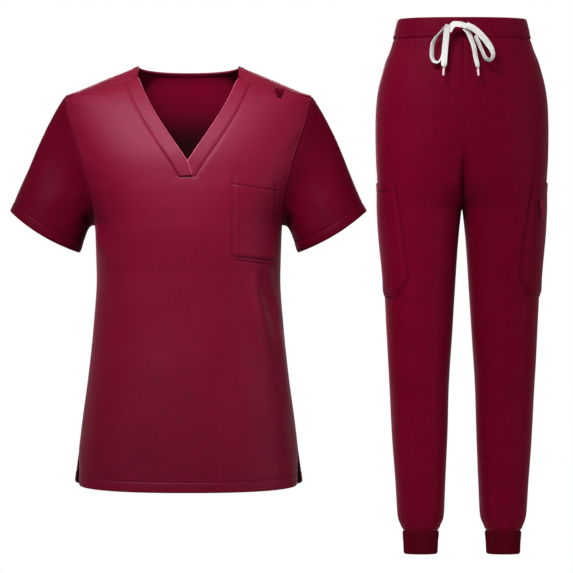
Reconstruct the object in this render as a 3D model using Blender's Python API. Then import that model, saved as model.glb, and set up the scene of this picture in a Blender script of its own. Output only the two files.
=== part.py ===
"""Medical scrubs: a V-neck top and a pair of jogger trousers, both filled out as if worn.

Units are metres, +Z is up and the fronts face -Y. The origin lies midway between the two
neck points of the top, where a wearer's shoulders carry it. The trousers stand beside the
top, with their middle TROUSERS_X along +X. Each piece a maker cuts is a shell of its own,
and its outer face follows the torso, a sleeve, a trouser leg or the waist.
"""

import math

import bpy
import mathutils
import numpy as np

WALL = 0.0015
POCKET_WALL = 0.0012
SEAM_PULL = 0.0002
LAYER_GAP = 0.0006

ROUNDNESS = 2.35
SIDE_SEAM_ROWS = 9
ARMHOLE_ROWS = 12
SHOULDER_COLUMNS = 7
NECK_ROWS = 7
SLEEVE_ROWS = 6
TROUSERS_X = 0.470
LEG_COLUMNS = 8

# The torso: height, half width, front depth, back depth
TORSO = (
    (0.000, 0.0855, 0.012, 0.052),
    (-0.009, 0.1080, 0.026, 0.061),
    (-0.018, 0.1310, 0.038, 0.067),
    (-0.030, 0.1600, 0.050, 0.073),
    (-0.042, 0.1880, 0.059, 0.078),
    (-0.053, 0.2135, 0.066, 0.082),
    (-0.066, 0.2175, 0.075, 0.087),
    (-0.089, 0.2175, 0.088, 0.093),
    (-0.136, 0.2105, 0.108, 0.102),
    (-0.165, 0.2025, 0.116, 0.105),
    (-0.190, 0.1945, 0.120, 0.106),
    (-0.217, 0.1840, 0.123, 0.106),
    (-0.248, 0.1705, 0.124, 0.105),
    (-0.265, 0.1632, 0.124, 0.104),
    (-0.275, 0.1608, 0.124, 0.103),
    (-0.323, 0.1590, 0.121, 0.098),
    (-0.365, 0.1580, 0.118, 0.095),
    (-0.447, 0.1634, 0.117, 0.101),
    (-0.530, 0.1720, 0.120, 0.110),
    (-0.612, 0.1830, 0.124, 0.119),
    (-0.674, 0.1900, 0.126, 0.123),
    (-0.740, 0.1960, 0.127, 0.126),
)
# The armhole from underarm to shoulder: distance out, height
FRONT_ARMHOLE = (
    (0.1608, -0.275),
    (0.1625, -0.248),
    (0.1670, -0.217),
    (0.1740, -0.190),
    (0.1805, -0.165),
    (0.1910, -0.136),
    (0.2050, -0.089),
    (0.2115, -0.057),
)
BACK_ARMHOLE = (
    (0.1608, -0.275),
    (0.1628, -0.248),
    (0.1680, -0.217),
    (0.1755, -0.190),
    (0.1825, -0.165),
    (0.1930, -0.136),
    (0.2065, -0.089),
    (0.2122, -0.058),
)
SHOULDER_TIP_ACROSS = 0.2124
# The forward shoulder seam from arm to neck: distance out, height
SHOULDER_SEAM = (
    (0.2115, -0.0570),
    (0.1880, -0.0500),
    (0.1550, -0.0395),
    (0.1300, -0.0345),
    (0.1080, -0.0285),
)
BAND_TOP = ((0.1080, -0.0285), (0.0865, -0.0195))
BAND_OUTER = (
    (0.1080, -0.0285),
    (0.0860, -0.0780),
    (0.0600, -0.1220),
    (0.0240, -0.1760),
    (0.0155, -0.1900),
)
BAND_INNER = (
    (0.0865, -0.0195),
    (0.0650, -0.0660),
    (0.0000, -0.1665),
)
V_END_HALF = 0.0155
V_END_HEIGHT = -0.1915
BAND_OVERLAP = (0.0085, -0.1905)
BAND_UNDERLAP = (-0.0130, -0.1905)
BAND_LIFT = 0.0023
BINDING_END = (0.0912, -0.0214)
BINDING = 0.005
BACK_NECK_HEIGHT = -0.0095
HEM_HEIGHT = -0.7290
HEM_CORNER_HEIGHT = -0.7120
VENT_TOP = -0.659
VENT_SPREAD = 0.005

SLEEVE_HEM_OUTER = (0.3070, -0.2490)
SLEEVE_HEM_INNER = (0.1885, -0.3210)
SLEEVE_HEM_DEPTH = 0.066
SLEEVE_HEM_DIP = 0.007

# Long soft folds on the top's front: start across and height, end across and height, width, depth
TOP_FOLDS = (
    (0.130, -0.352, 0.160, -0.465, 0.016, -0.004),
    (0.108, -0.366, 0.156, -0.540, 0.018, 0.003),
    (-0.120, -0.345, -0.150, -0.520, 0.022, -0.003),
    (-0.030, -0.430, -0.060, -0.680, 0.030, 0.002),
    (0.055, -0.450, 0.080, -0.690, 0.030, -0.002),
)

# A trouser leg: height, outer edge, inner edge, front depth, back depth. Above the crotch
# the inner edge lies past the middle, where the two legs cut each other off.
LEG = (
    (0.0447, 0.1180, -0.1180, 0.088, 0.098),
    (0.0275, 0.1230, -0.1200, 0.091, 0.102),
    (0.0070, 0.1316, -0.1230, 0.095, 0.109),
    (-0.014, 0.1376, -0.1230, 0.098, 0.116),
    (-0.034, 0.1428, -0.1200, 0.100, 0.122),
    (-0.055, 0.1462, -0.1160, 0.101, 0.127),
    (-0.076, 0.1480, -0.1100, 0.102, 0.130),
    (-0.110, 0.1488, -0.0940, 0.102, 0.132),
    (-0.158, 0.1480, -0.0620, 0.100, 0.130),
    (-0.200, 0.1455, -0.0330, 0.096, 0.122),
    (-0.247, 0.1430, 0.0004, 0.088, 0.106),
    (-0.261, 0.1418, 0.0024, 0.087, 0.103),
    (-0.303, 0.1385, 0.0066, 0.083, 0.096),
    (-0.385, 0.1332, 0.0120, 0.076, 0.087),
    (-0.468, 0.1290, 0.0172, 0.069, 0.079),
    (-0.550, 0.1247, 0.0224, 0.063, 0.074),
    (-0.633, 0.1204, 0.0249, 0.058, 0.070),
    (-0.7155, 0.1144, 0.0284, 0.053, 0.064),
    (-0.757, 0.1118, 0.0301, 0.049, 0.059),
    (-0.777, 0.1092, 0.0327, 0.046, 0.055),
    (-0.788, 0.1049, 0.0375, 0.043, 0.050),
    (-0.798, 0.1008, 0.0410, 0.040, 0.045),
)
CROTCH_HEIGHT = -0.247
HIP_ROWS = (0.0447, 0.018, -0.012, -0.050, -0.092, -0.134, -0.170, -0.200, -0.224, -0.240)
LEG_ROWS = (-0.247, -0.260, -0.310, -0.380, -0.460, -0.550, -0.640, -0.720, -0.757, -0.778, -0.788, -0.798)
CUFF_BOTTOM = -0.838
CUFF_ROWS = 4
# The ribbed cuff: height, outer edge, inner edge, front depth, back depth
CUFF = (
    (-0.7984, 0.1012, 0.0406, 0.0400, 0.0450),
    (-0.8020, 0.1018, 0.0400, 0.0405, 0.0455),
    (-0.8180, 0.1006, 0.0412, 0.0395, 0.0440),
    (-0.8380, 0.0998, 0.0421, 0.0385, 0.0430),
)
# The waistband: height, outer edge, inner edge, front depth, back depth
WAISTBAND = (
    (0.0451, 0.1180, -0.1180, 0.0880, 0.0980),
    (0.0520, 0.1172, -0.1172, 0.0872, 0.0968),
    (0.0660, 0.1145, -0.1145, 0.0852, 0.0945),
    (0.0800, 0.1110, -0.1110, 0.0830, 0.0920),
)
WAISTBAND_COLUMNS = 36

# The chest pocket's corners on the wearer's left: across, height
CHEST_POCKET = ((0.0760, -0.1900), (0.1510, -0.2005), (0.0760, -0.3300), (0.1500, -0.3385))
POCKET_MOUTH_LIFT = 0.0015
# The badge loop at the forward shoulder seam, its corners in the same order
BADGE_LOOP = ((0.1480, -0.0392), (0.1625, -0.0438), (0.1520, -0.0545), (0.1570, -0.0560))
# A cargo pocket's front edge: distance out, height
CARGO_EDGE = (
    (0.1180, -0.2015),
    (0.1080, -0.2640),
    (0.1010, -0.3060),
    (0.0945, -0.3650),
    (0.1115, -0.3940),
)
CARGO_HEM_HEIGHT = -0.3945
CARGO_FULLNESS = 0.0035
CARGO_GAP = 0.0013
UTILITY_LOOP = (0.1335, -0.2315, -0.2640, 0.0085)

CORD_WIDTH = 0.0105
CORD_THICKNESS = 0.0016
AGLET_LENGTH = 0.0130
AGLET_RADIUS = 0.0022
# Drawstring lines: across, out in front of the middle, height, width seen from the front
ARCH = (
    (-0.0225, -0.1020, 0.0570, 0.0085),
    (-0.0190, -0.1020, 0.0640, 0.0095),
    (-0.0145, -0.1015, 0.0670, 0.0100),
    (-0.0085, -0.1010, 0.0660, 0.0095),
    (-0.0020, -0.1000, 0.0635, 0.0090),
)
TAIL_RIGHT = (
    (-0.0285, -0.1055, 0.0660, 0.0070),
    (-0.0295, -0.1060, 0.0560, 0.0100),
    (-0.0320, -0.1060, 0.0310, 0.0104),
    (-0.0335, -0.1080, 0.0140, 0.0104),
    (-0.0345, -0.1110, -0.0010, 0.0100),
    (-0.0350, -0.1120, -0.0075, 0.0044),
)
TAIL_LEFT = (
    (0.0010, -0.0990, 0.0600, 0.0085),
    (0.0060, -0.1000, 0.0540, 0.0080),
    (0.0120, -0.1020, 0.0410, 0.0078),
    (0.0170, -0.1050, 0.0255, 0.0080),
    (0.0198, -0.1080, 0.0080, 0.0080),
    (0.0220, -0.1110, -0.0020, 0.0074),
    (0.0228, -0.1120, -0.0080, 0.0044),
)
LOOP_RIGHT = (
    (-0.0320, -0.0980, 0.0610, 0.0050),
    (-0.0400, -0.0980, 0.0530, 0.0040),
    (-0.0495, -0.0990, 0.0410, 0.0050),
    (-0.0540, -0.1000, 0.0300, 0.0065),
    (-0.0548, -0.1010, 0.0150, 0.0070),
    (-0.0515, -0.1015, 0.0040, 0.0060),
    (-0.0450, -0.1010, 0.0020, 0.0045),
    (-0.0395, -0.1000, 0.0080, 0.0040),
    (-0.0345, -0.0990, 0.0260, 0.0040),
    (-0.0300, -0.0975, 0.0450, 0.0040),
)
LOOP_LEFT = (
    (0.0035, -0.1050, 0.0655, 0.0100),
    (0.0180, -0.1065, 0.0575, 0.0108),
    (0.0310, -0.1080, 0.0450, 0.0108),
    (0.0410, -0.1090, 0.0325, 0.0104),
    (0.0470, -0.1100, 0.0215, 0.0085),
    (0.0488, -0.1110, 0.0135, 0.0065),
    (0.0465, -0.1120, 0.0075, 0.0050),
    (0.0415, -0.1120, 0.0050, 0.0050),
    (0.0362, -0.1110, 0.0085, 0.0050),
    (0.0305, -0.1090, 0.0205, 0.0050),
    (0.0232, -0.1050, 0.0375, 0.0050),
    (0.0190, -0.1020, 0.0470, 0.0050),
)

CLOTH_COLOUR = (0.136, 0.003, 0.013, 1.0)
RIB_COLOUR = (0.075, 0.002, 0.008, 1.0)
CORD_COLOUR = (0.80, 0.79, 0.78, 1.0)
AGLET_COLOUR = (0.75, 0.50, 0.53, 1.0)


def smooth(rows):
    """A function that runs smoothly through the rows, read by their first column, with no overshoot."""
    table = np.array(sorted(rows))
    at, values = table[:, 0], table[:, 1:]
    widths = np.diff(at)[:, None]
    rises = np.diff(values, axis=0) / widths
    slopes = np.zeros_like(values)
    slopes[0], slopes[-1] = rises[0], rises[-1]
    before, after = rises[:-1], rises[1:]
    same_way = before * after > 0
    total = np.where(same_way, before + after, 1.0)
    slopes[1:-1] = np.where(same_way, 2.0 * before * after / total, 0.0)

    def read(where):
        k = int(np.clip(np.searchsorted(at, where) - 1, 0, len(at) - 2))
        width = at[k + 1] - at[k]
        t = min(max((where - at[k]) / width, 0.0), 1.0)
        start = (1 + 2 * t) * (1 - t) ** 2 * values[k] + t * (1 - t) ** 2 * width * slopes[k]
        end = t * t * (3 - 2 * t) * values[k + 1] - t * t * (1 - t) * width * slopes[k + 1]
        return start + end

    return read


torso_at = smooth(TORSO)
leg_at = smooth(LEG)
cuff_at = smooth(CUFF)
waistband_at = smooth(WAISTBAND)


RIDGE_HEIGHTS = np.linspace(0.0, -0.0534, 90)
RIDGE_ACROSS = np.array([torso_at(height)[0] for height in RIDGE_HEIGHTS])


def unit(vector):
    return np.asarray(vector, float) / max(float(np.linalg.norm(vector)), 1e-12)


def signed_power(value, power):
    return math.copysign(abs(value) ** power, value)


def fold_depth(x, height):
    """How far the long soft folds of the top move its front in or out."""
    moved = 0.0
    for x0, z0, x1, z1, width, depth in TOP_FOLDS:
        run = np.array((x1 - x0, z1 - z0))
        step = np.array((x - x0, height - z0))
        along = float(step @ run) / float(run @ run)
        nearest = min(max(along, 0.0), 1.0)
        aside = float(np.linalg.norm(step - nearest * run))
        fade = math.sin(math.pi * nearest) ** 0.5 if 0.0 < nearest < 1.0 else 0.0
        moved += depth * fade * math.exp(-((aside / width) ** 2))
    return moved


def torso(angle, height):
    """The torso's point and outward direction. Angle 0 is the wearer's left side, -90 degrees the front."""
    half_width, front, back = torso_at(height)
    across, along = math.cos(angle), math.sin(angle)
    depth = front if along < 0 else back
    x = half_width * signed_power(across, 2 / ROUNDNESS)
    y = depth * signed_power(along, 2 / ROUNDNESS)
    step = 0.0005
    above, below = torso_at(height + step), torso_at(height - step)
    widening = (above[0] - below[0]) / (2 * step)
    side = 1 if along < 0 else 2
    deepening = (above[side] - below[side]) / (2 * step)
    part_x, part_y = abs(across) ** 2, abs(along) ** 2
    out = unit((
        signed_power(across, 2 - 2 / ROUNDNESS) / half_width,
        signed_power(along, 2 - 2 / ROUNDNESS) / depth,
        -part_x * widening / half_width - part_y * deepening / depth,
    ))
    moved = fold_depth(x, height) if along < 0 else 0.0
    return np.array((x, y, height)) + out * moved, out


def torso_angle(x, height, face):
    """The angle at which the torso is x across at this height, on its front (-1) or back (+1)."""
    half_width = torso_at(height)[0]
    share = min(max(x / half_width, -1.0), 1.0)
    return face * math.acos(signed_power(share, ROUNDNESS / 2))


def over_torso(across, rise):
    """The angle and height of a place given by its distance across and its unrolled rise.

    The rise is the height on the back. Past the shoulder's ridge it goes on upward while
    the place comes down the front, so a back panel and its shoulder yoke are one flat shape.
    """
    ridge = ridge_height(across)
    if rise > ridge:
        height = 2 * ridge - rise
        return torso_angle(across, height, -1), height
    return torso_angle(across, rise, 1), rise


def ridge_height(across):
    """The height of the shoulder's ridge this far across, and 0 inside the neck."""
    return float(np.interp(abs(across), RIDGE_ACROSS, RIDGE_HEIGHTS))


def front_spot(across, height):
    return torso(torso_angle(across, height, -1), height)


def back_spot(across, rise):
    return torso(*over_torso(across, rise))


def turned_up(line):
    """Places on the front of the shoulder, with their heights unrolled as rises."""
    return [(across, 2 * ridge_height(across) - height) for across, height in line]


def leg_like(read, angle, height):
    """A point of a ring between an outer and an inner edge, and its outward direction."""
    outer, inner, front, back = read(height)
    middle, half = (outer + inner) / 2, (outer - inner) / 2
    across, along = math.cos(angle), math.sin(angle)
    depth = front if along < 0 else back
    x = middle + half * signed_power(across, 2 / ROUNDNESS)
    y = depth * signed_power(along, 2 / ROUNDNESS)
    out = unit((
        signed_power(across, 2 - 2 / ROUNDNESS) / half,
        signed_power(along, 2 - 2 / ROUNDNESS) / depth,
        0.0,
    ))
    return np.array((x, y, height)), out


def resample(points, count, measure=None):
    """count + 1 of the points' positions, evenly spaced along the line they make."""
    points = np.array(points, float)
    placed = points if measure is None else np.array([measure(*p) for p in points])
    lengths = np.concatenate([[0.0], np.cumsum(np.linalg.norm(np.diff(placed, axis=0), axis=1))])
    where = np.linspace(0.0, lengths[-1], count + 1)
    return np.stack([np.interp(where, lengths, points[:, k]) for k in range(points.shape[1])], 1)


def eased(points, count=60):
    """A smooth line through the points, as many fine steps."""
    points = np.array(points, float)
    lengths = np.concatenate([[0.0], np.cumsum(np.linalg.norm(np.diff(points, axis=0), axis=1))])
    read = smooth(np.column_stack([lengths, points]).tolist())
    return [tuple(read(at)) for at in np.linspace(0.0, lengths[-1], count)]


def evenly(form, line, count):
    """count + 1 places along a line, evenly spaced on the form."""
    return resample(line, count, lambda *place: form(*place)[0])


def between_edges(bottom, top, left, right):
    """A grid of positions filled in between four edges: rows run from the bottom to the top."""
    rows, columns = len(left), len(bottom)
    grid = np.zeros((rows, columns, bottom.shape[1]))
    for j in range(rows):
        v = j / (rows - 1)
        for i in range(columns):
            u = i / (columns - 1)
            lines = (1 - v) * bottom[i] + v * top[i] + (1 - u) * left[j] + u * right[j]
            corners = (1 - u) * (1 - v) * bottom[0] + u * (1 - v) * bottom[-1]
            corners = corners + (1 - u) * v * top[0] + u * v * top[-1]
            grid[j, i] = lines - corners
    return grid


def raised(form, grid):
    """Points and outward directions of a grid of places on a form."""
    spots = [[form(*place) for place in row] for row in grid]
    points = np.array([[spot[0] for spot in row] for row in spots])
    outs = np.array([[spot[1] for spot in row] for row in spots])
    return points, outs


def material(name, colour, roughness):
    found = bpy.data.materials.get(name)
    if found:
        return found
    made = bpy.data.materials.new(name)
    made.use_nodes = True
    shader = made.node_tree.nodes["Principled BSDF"]
    shader.inputs["Base Color"].default_value = colour
    shader.inputs["Roughness"].default_value = roughness
    made.diffuse_color = colour
    return made


def add_object(name, verts, faces, colour, roughness, flat_from=None):
    mesh = bpy.data.meshes.new(name)
    mesh.from_pydata([tuple(v) for v in verts], [], faces)
    mesh.update()
    mesh.materials.append(material(name, colour, roughness))
    for index, polygon in enumerate(mesh.polygons):
        polygon.use_smooth = flat_from is None or index < flat_from
    made = bpy.data.objects.new(name, mesh)
    bpy.context.collection.objects.link(made)
    return made


def shell(name, patches, wall=WALL, colour=CLOTH_COLOUR, roughness=0.85, shift=0.0):
    """One closed shell from grids of (points, outward directions) that share some edge points.

    Its outline is pulled in a little, so that it stays clear of the next piece, and its
    inner face lies one wall inside the outer one.
    """
    index, outer, outs, sides = {}, [], [], []
    for points, directions in patches:
        rows, columns = points.shape[:2]
        at = np.zeros((rows, columns), int)
        for j in range(rows):
            for i in range(columns):
                key = tuple(np.round(points[j, i], 7))
                if key not in index:
                    index[key] = len(outer)
                    outer.append(points[j, i])
                    outs.append(directions[j, i])
                at[j, i] = index[key]
        for j in range(rows - 1):
            for i in range(columns - 1):
                a, b, c, d = at[j, i], at[j, i + 1], at[j + 1, i + 1], at[j + 1, i]
                along = np.linalg.norm(outer[a] - outer[c])
                aside = np.linalg.norm(outer[b] - outer[d])
                cut = ((a, b, c), (a, c, d)) if along < aside else ((a, b, d), (b, c, d))
                sides += [tuple(int(v) for v in side) for side in cut]
    outer, outs = np.array(outer), np.array(outs)
    edges = {(a, b) for side in sides for a, b in zip(side, side[1:] + side[:1])}
    rim = sorted((a, b) for a, b in edges if (b, a) not in edges)
    after, before = dict(rim), {b: a for a, b in rim}
    moved = outer.copy()
    for at_vertex in after:
        along = unit(outer[after[at_vertex]] - outer[before[at_vertex]])
        inward = unit(np.cross(outs[at_vertex], along))
        moved[at_vertex] = outer[at_vertex] + SEAM_PULL * inward
    moved = moved + np.array((shift, 0.0, 0.0))
    inner = moved - wall * outs
    count = len(moved)
    verts = np.concatenate([moved, inner])
    faces = sides + [tuple(v + count for v in reversed(side)) for side in sides]
    faces += [(b, a, a + count, b + count) for a, b in rim]
    return add_object(name, verts, faces, colour, roughness, 2 * len(sides))


def mirrored(patch):
    """The same patch on the other side of the middle, its faces still outward."""
    points, outs = patch
    flip = np.array((-1.0, 1.0, 1.0))
    return points[:, ::-1] * flip, outs[:, ::-1] * flip


def side_seam(count):
    return resample([(0.0, HEM_CORNER_HEIGHT), (0.0, VENT_TOP), (0.0, FRONT_ARMHOLE[0][1])], count)


def lower_torso(face, columns):
    """The torso below the underarm, its front or its back: a grid of angles and heights."""
    quarter = math.pi / 2
    hem = []
    for u in np.linspace(-1, 1, 2 * columns + 1):
        angle = face * quarter * (1 - u) if face < 0 else quarter * (1 + u)
        sag = math.cos(u * quarter) ** 0.6
        hem.append((angle, HEM_CORNER_HEIGHT + (HEM_HEIGHT - HEM_CORNER_HEIGHT) * sag))
    hem = np.array(hem)
    level = FRONT_ARMHOLE[0][1]
    top = np.array([(angle, level) for angle, _ in hem])
    left = np.array([(hem[0][0], z) for _, z in side_seam(SIDE_SEAM_ROWS)])
    right = np.array([(hem[-1][0], z) for _, z in side_seam(SIDE_SEAM_ROWS)])
    return between_edges(hem, top, left, right)


def spread_vents(patch, face):
    """Opens the side vents: the hem corners of this half move apart from those of the other."""
    points, outs = patch
    for row in range(points.shape[0]):
        for column in range(points.shape[1]):
            x, y, z = points[row, column]
            share = min(max((VENT_TOP - z) / (VENT_TOP - HEM_CORNER_HEIGHT), 0.0), 1.0)
            close = math.exp(-((y / 0.030) ** 2))
            points[row, column, 1] += face * VENT_SPREAD * 0.5 * share * close
            points[row, column, 0] += math.copysign(0.003, x) * share * close * (face > 0)
    return points, outs


def across_at(angle, height):
    return torso_at(height)[0] * signed_power(math.cos(angle), 2 / ROUNDNESS)


def place_of(point):
    """The place on the torso, as across and rise, that lies nearest a point beside it."""
    half_width, front, back = torso_at(point[2])
    sideways = signed_power(point[0] / half_width, ROUNDNESS / 2)
    lengthways = signed_power(point[1] / (front if point[1] < 0 else back), ROUNDNESS / 2)
    across = across_at(math.atan2(lengthways, sideways), point[2])
    return across, point[2] if point[1] >= 0 else 2 * ridge_height(across) - point[2]


def level_line(columns):
    """The line round the torso at the underarm, from the middle to the side."""
    level = FRONT_ARMHOLE[0][1]
    turns = [math.pi / 2 * (1 - i / columns) for i in range(columns + 1)]
    return np.array([(across_at(turn, level), level) for turn in turns])


def front_half(columns):
    """Half the front above the underarm, from the middle out to the arm: across and height."""
    bottom = level_line(columns)
    arm = evenly(front_spot, eased(FRONT_ARMHOLE), ARMHOLE_ROWS)
    top = evenly(front_spot, eased(SHOULDER_SEAM)[::-1], columns)
    below = ARMHOLE_ROWS - NECK_ROWS - 2
    middle = resample([tuple(bottom[0]), (0.0, V_END_HEIGHT)], below)
    foot = resample([(0.0, V_END_HEIGHT), (V_END_HALF, V_END_HEIGHT)], 2)
    band = evenly(front_spot, band_outer_line(), NECK_ROWS)
    inside = np.concatenate([middle[:-1], foot[:-1], band])
    return between_edges(bottom, top, inside, arm)


def band_outer_line():
    """The seam between the front and its neckband, from the V up to the shoulder."""
    return [(V_END_HALF, V_END_HEIGHT)] + eased(BAND_OUTER)[::-1]


def neck_line():
    """The back neckline from the middle of the back over the neck point: across and rise."""
    line = []
    for u in np.linspace(0, 1, 40):
        angle = math.pi / 2 * (1 - u)
        height = BACK_NECK_HEIGHT * math.sin(angle) ** 1.5
        line.append((across_at(angle, height), height))
    front = [(0.0855 + 0.001 * u, BAND_TOP[1][1] * u) for u in np.linspace(0, 1, 9)[1:]]
    return line + turned_up(front)


def below_neck_line():
    """The line one binding's width out from the back neckline: across and rise."""
    neck = neck_line()
    spots = [back_spot(*place) for place in neck]
    line = [(0.0, BACK_NECK_HEIGHT - 0.9 * BINDING)]
    for k in range(1, len(neck) - 1):
        along = unit(spots[k + 1][0] - spots[k - 1][0])
        aside = unit(np.cross(spots[k][1], along))
        line.append(place_of(spots[k][0] + BINDING * aside))
    return line + turned_up([BINDING_END])


def back_arm_line():
    """The back's share of the armhole: up from the underarm and over the tip to the forward seam."""
    tip = (SHOULDER_TIP_ACROSS, ridge_height(SHOULDER_TIP_ACROSS))
    return eased(list(BACK_ARMHOLE) + [tip] + turned_up(SHOULDER_SEAM[:1]))


def back_half(columns):
    """Half the back above the underarm, its shoulder wrapped forward to the front's seam."""
    bottom = level_line(columns)
    arm = evenly(back_spot, back_arm_line(), ARMHOLE_ROWS)
    seam = evenly(front_spot, eased(SHOULDER_SEAM)[::-1], columns - 1)
    neck = evenly(back_spot, below_neck_line(), NECK_ROWS + 1)
    top = np.concatenate([neck[-1:], turned_up(seam)])
    below = ARMHOLE_ROWS - NECK_ROWS - 1
    middle = resample([tuple(bottom[0]), tuple(neck[0])], below)
    inside = np.concatenate([middle[:-1], neck])
    return between_edges(bottom, top, inside, arm)


def build_body():
    front_columns, back_columns = SHOULDER_COLUMNS, SHOULDER_COLUMNS + 1
    half = raised(front_spot, front_half(front_columns))
    lower = spread_vents(raised(torso, lower_torso(-1, front_columns)), -1)
    shell("top_front", [lower, half, mirrored(half)])
    half = raised(back_spot, back_half(back_columns)[:, ::-1])
    lower = spread_vents(raised(torso, lower_torso(1, back_columns)), 1)
    shell("top_back", [lower, half, mirrored(half)])


def armhole_ring():
    """Points and outward directions round the wearer's left armhole, from the shoulder by the front."""
    front = evenly(front_spot, eased(FRONT_ARMHOLE), ARMHOLE_ROWS)
    back = evenly(back_spot, back_arm_line(), ARMHOLE_ROWS)
    ring = [front_spot(*place) for place in front[::-1]]
    ring += [back_spot(*place) for place in back[1:-1]]
    return np.array([spot[0] for spot in ring]), np.array([spot[1] for spot in ring])


def sleeve_patch():
    """The wearer's left sleeve: rows run from the armhole to the hem."""
    ring, seam_outs = armhole_ring()
    count = len(ring)
    tip = ring[0]
    lengths = np.linalg.norm(np.diff(np.concatenate([ring, ring[:1]]), axis=0), axis=1)
    past_tip = -tip[1]
    turns = (np.concatenate([[0.0], np.cumsum(lengths)])[:-1] + past_tip) / lengths.sum()
    outer = np.array((SLEEVE_HEM_OUTER[0], 0.0, SLEEVE_HEM_OUTER[1]))
    inner = np.array((SLEEVE_HEM_INNER[0], 0.0, SLEEVE_HEM_INNER[1]))
    middle, long_half = (outer + inner) / 2, (outer - inner) / 2
    axis = unit(np.cross((0.0, 1.0, 0.0), long_half))
    axis = axis if axis[2] < 0 else -axis
    rows = SLEEVE_ROWS
    points = np.zeros((rows + 1, count, 3))
    for i in range(count):
        phi = 2 * math.pi * turns[i]
        dip = SLEEVE_HEM_DIP * math.sin(phi) ** 2 * (1.0 if phi < math.pi else 0.5)
        end = middle + long_half * math.cos(phi) + axis * dip
        end = end + np.array((0.0, -SLEEVE_HEM_DEPTH * math.sin(phi), 0.0))
        start = ring[i]
        reach = float(np.linalg.norm(end - start))
        along = unit(np.roll(ring, -1, axis=0)[i] - np.roll(ring, 1, axis=0)[i])
        leaving = unit(np.cross(seam_outs[i], along))
        leaving = leaving if leaving[0] > 0 else -leaving
        begin = unit(0.55 * leaving + 0.45 * unit(end - start)) * reach
        finish = unit(0.4 * axis + 0.6 * unit(end - start)) * reach
        for j in range(rows + 1):
            t = j / rows
            points[j, i] = (
                (1 + 2 * t) * (1 - t) ** 2 * start
                + t * (1 - t) ** 2 * begin
                + t * t * (3 - 2 * t) * end
                - t * t * (1 - t) * finish
            )
    outs = np.zeros_like(points)
    for j in range(rows + 1):
        for i in range(count):
            around = points[j, (i + 1) % count] - points[j, i - 1]
            along = points[min(j + 1, rows), i] - points[max(j - 1, 0), i]
            outs[j, i] = unit(np.cross(along, around))
    if float(outs[rows // 2, 0] @ (points[rows // 2, 0] - points[rows // 2].mean(0))) < 0:
        outs = -outs
    outs[0] = seam_outs
    close = np.concatenate([points, points[:, :1]], axis=1)
    close_outs = np.concatenate([outs, outs[:, :1]], axis=1)
    return close[::-1], close_outs[::-1]


def build_sleeves():
    points, outs = sleeve_patch()
    left = (points[:, ::-1], outs[:, ::-1])
    shell("sleeve_left", [left])
    shell("sleeve_right", [mirrored(left)])


def band_patch(inner_end, lift):
    """A front neckband on the wearer's left, from the foot of the V up to the shoulder seam."""
    outer = evenly(front_spot, band_outer_line(), NECK_ROWS)
    inner = evenly(front_spot, [inner_end] + eased(BAND_INNER)[::-1], NECK_ROWS)
    foot = resample([tuple(inner[0]), tuple(outer[0])], 2)
    top = np.array((BAND_TOP[1], BINDING_END, BAND_TOP[0]))
    points, outs = raised(front_spot, between_edges(foot, top, inner, outer))
    for row in range(points.shape[0]):
        for column in range(points.shape[1]):
            low = min(max((-0.118 - points[row, column, 2]) / 0.035, 0.0), 1.0)
            points[row, column] += outs[row, column] * lift * low * low * (3 - 2 * low)
    return points, outs


def build_neck():
    shell("neckband_left", [band_patch(BAND_UNDERLAP, 0.0)])
    shell("neckband_right", [mirrored(band_patch((-BAND_OVERLAP[0], BAND_OVERLAP[1]), BAND_LIFT))])
    edge = evenly(back_spot, neck_line(), NECK_ROWS + 1)
    below = evenly(back_spot, below_neck_line(), NECK_ROWS + 1)
    half = raised(back_spot, np.stack([below, edge])[:, ::-1])
    shell("neckband_back", [half, mirrored(half)])


def front_patch(corners, columns, rows, lift):
    """A patch laid on the torso's front between four corners: upper two, then lower two."""
    upper_in, upper_out, lower_in, lower_out = (np.array(corner) for corner in corners)
    grid = []
    for v in np.linspace(0, 1, rows + 1):
        start, end = lower_in + (upper_in - lower_in) * v, lower_out + (upper_out - lower_out) * v
        grid.append([start + (end - start) * u for u in np.linspace(0, 1, columns + 1)])
    points, outs = raised(front_spot, grid)
    for row in range(rows + 1):
        for column in range(columns + 1):
            points[row, column] += outs[row, column] * lift(column / columns, row / rows)
    return points, outs


def build_chest_details():
    base = 2 * LAYER_GAP + POCKET_WALL

    def pocket_lift(u, v):
        return base + POCKET_MOUTH_LIFT * math.sin(math.pi * u) * max(v - 0.7, 0.0) / 0.3

    shell("chest_pocket", [front_patch(CHEST_POCKET, 6, 8, pocket_lift)], POCKET_WALL)

    def loop_lift(u, v):
        return base + 0.002 * math.sin(math.pi * min(v, 1.0)) + 0.0004

    shell("badge_loop", [front_patch(BADGE_LOOP, 4, 3, loop_lift)], POCKET_WALL)


def leg(angle, height):
    return leg_like(leg_at, angle, height)


def inner_angle(height):
    """Where a leg's ring starts: at the inseam, or at the middle seam above the crotch."""
    outer, inner = leg_at(height)[:2]
    if height <= CROTCH_HEIGHT:
        return math.pi
    middle, half = (outer + inner) / 2, (outer - inner) / 2
    return math.pi - math.acos(min(middle / half, 1.0) ** (ROUNDNESS / 2))


def leg_panel(face):
    """The front (-1) or back (+1) of the wearer's left leg, rows from the ankle up."""
    heights = sorted(set(HIP_ROWS + LEG_ROWS))
    grid = []
    for height in heights:
        start = face * inner_angle(height)
        grid.append([(start * (1 - i / LEG_COLUMNS), height) for i in range(LEG_COLUMNS + 1)])
    points, outs = raised(leg, grid)
    if face > 0:
        points, outs = points[:, ::-1], outs[:, ::-1]
    return points, outs


def moved(patch, x):
    return patch[0] + np.array((x, 0.0, 0.0)), patch[1]


def pair(name, patch, wall=WALL, colour=CLOTH_COLOUR):
    """The same piece on both legs."""
    shell(name + "_left", [moved(patch, TROUSERS_X)], wall, colour)
    shell(name + "_right", [moved(mirrored(patch), TROUSERS_X)], wall, colour)


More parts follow.
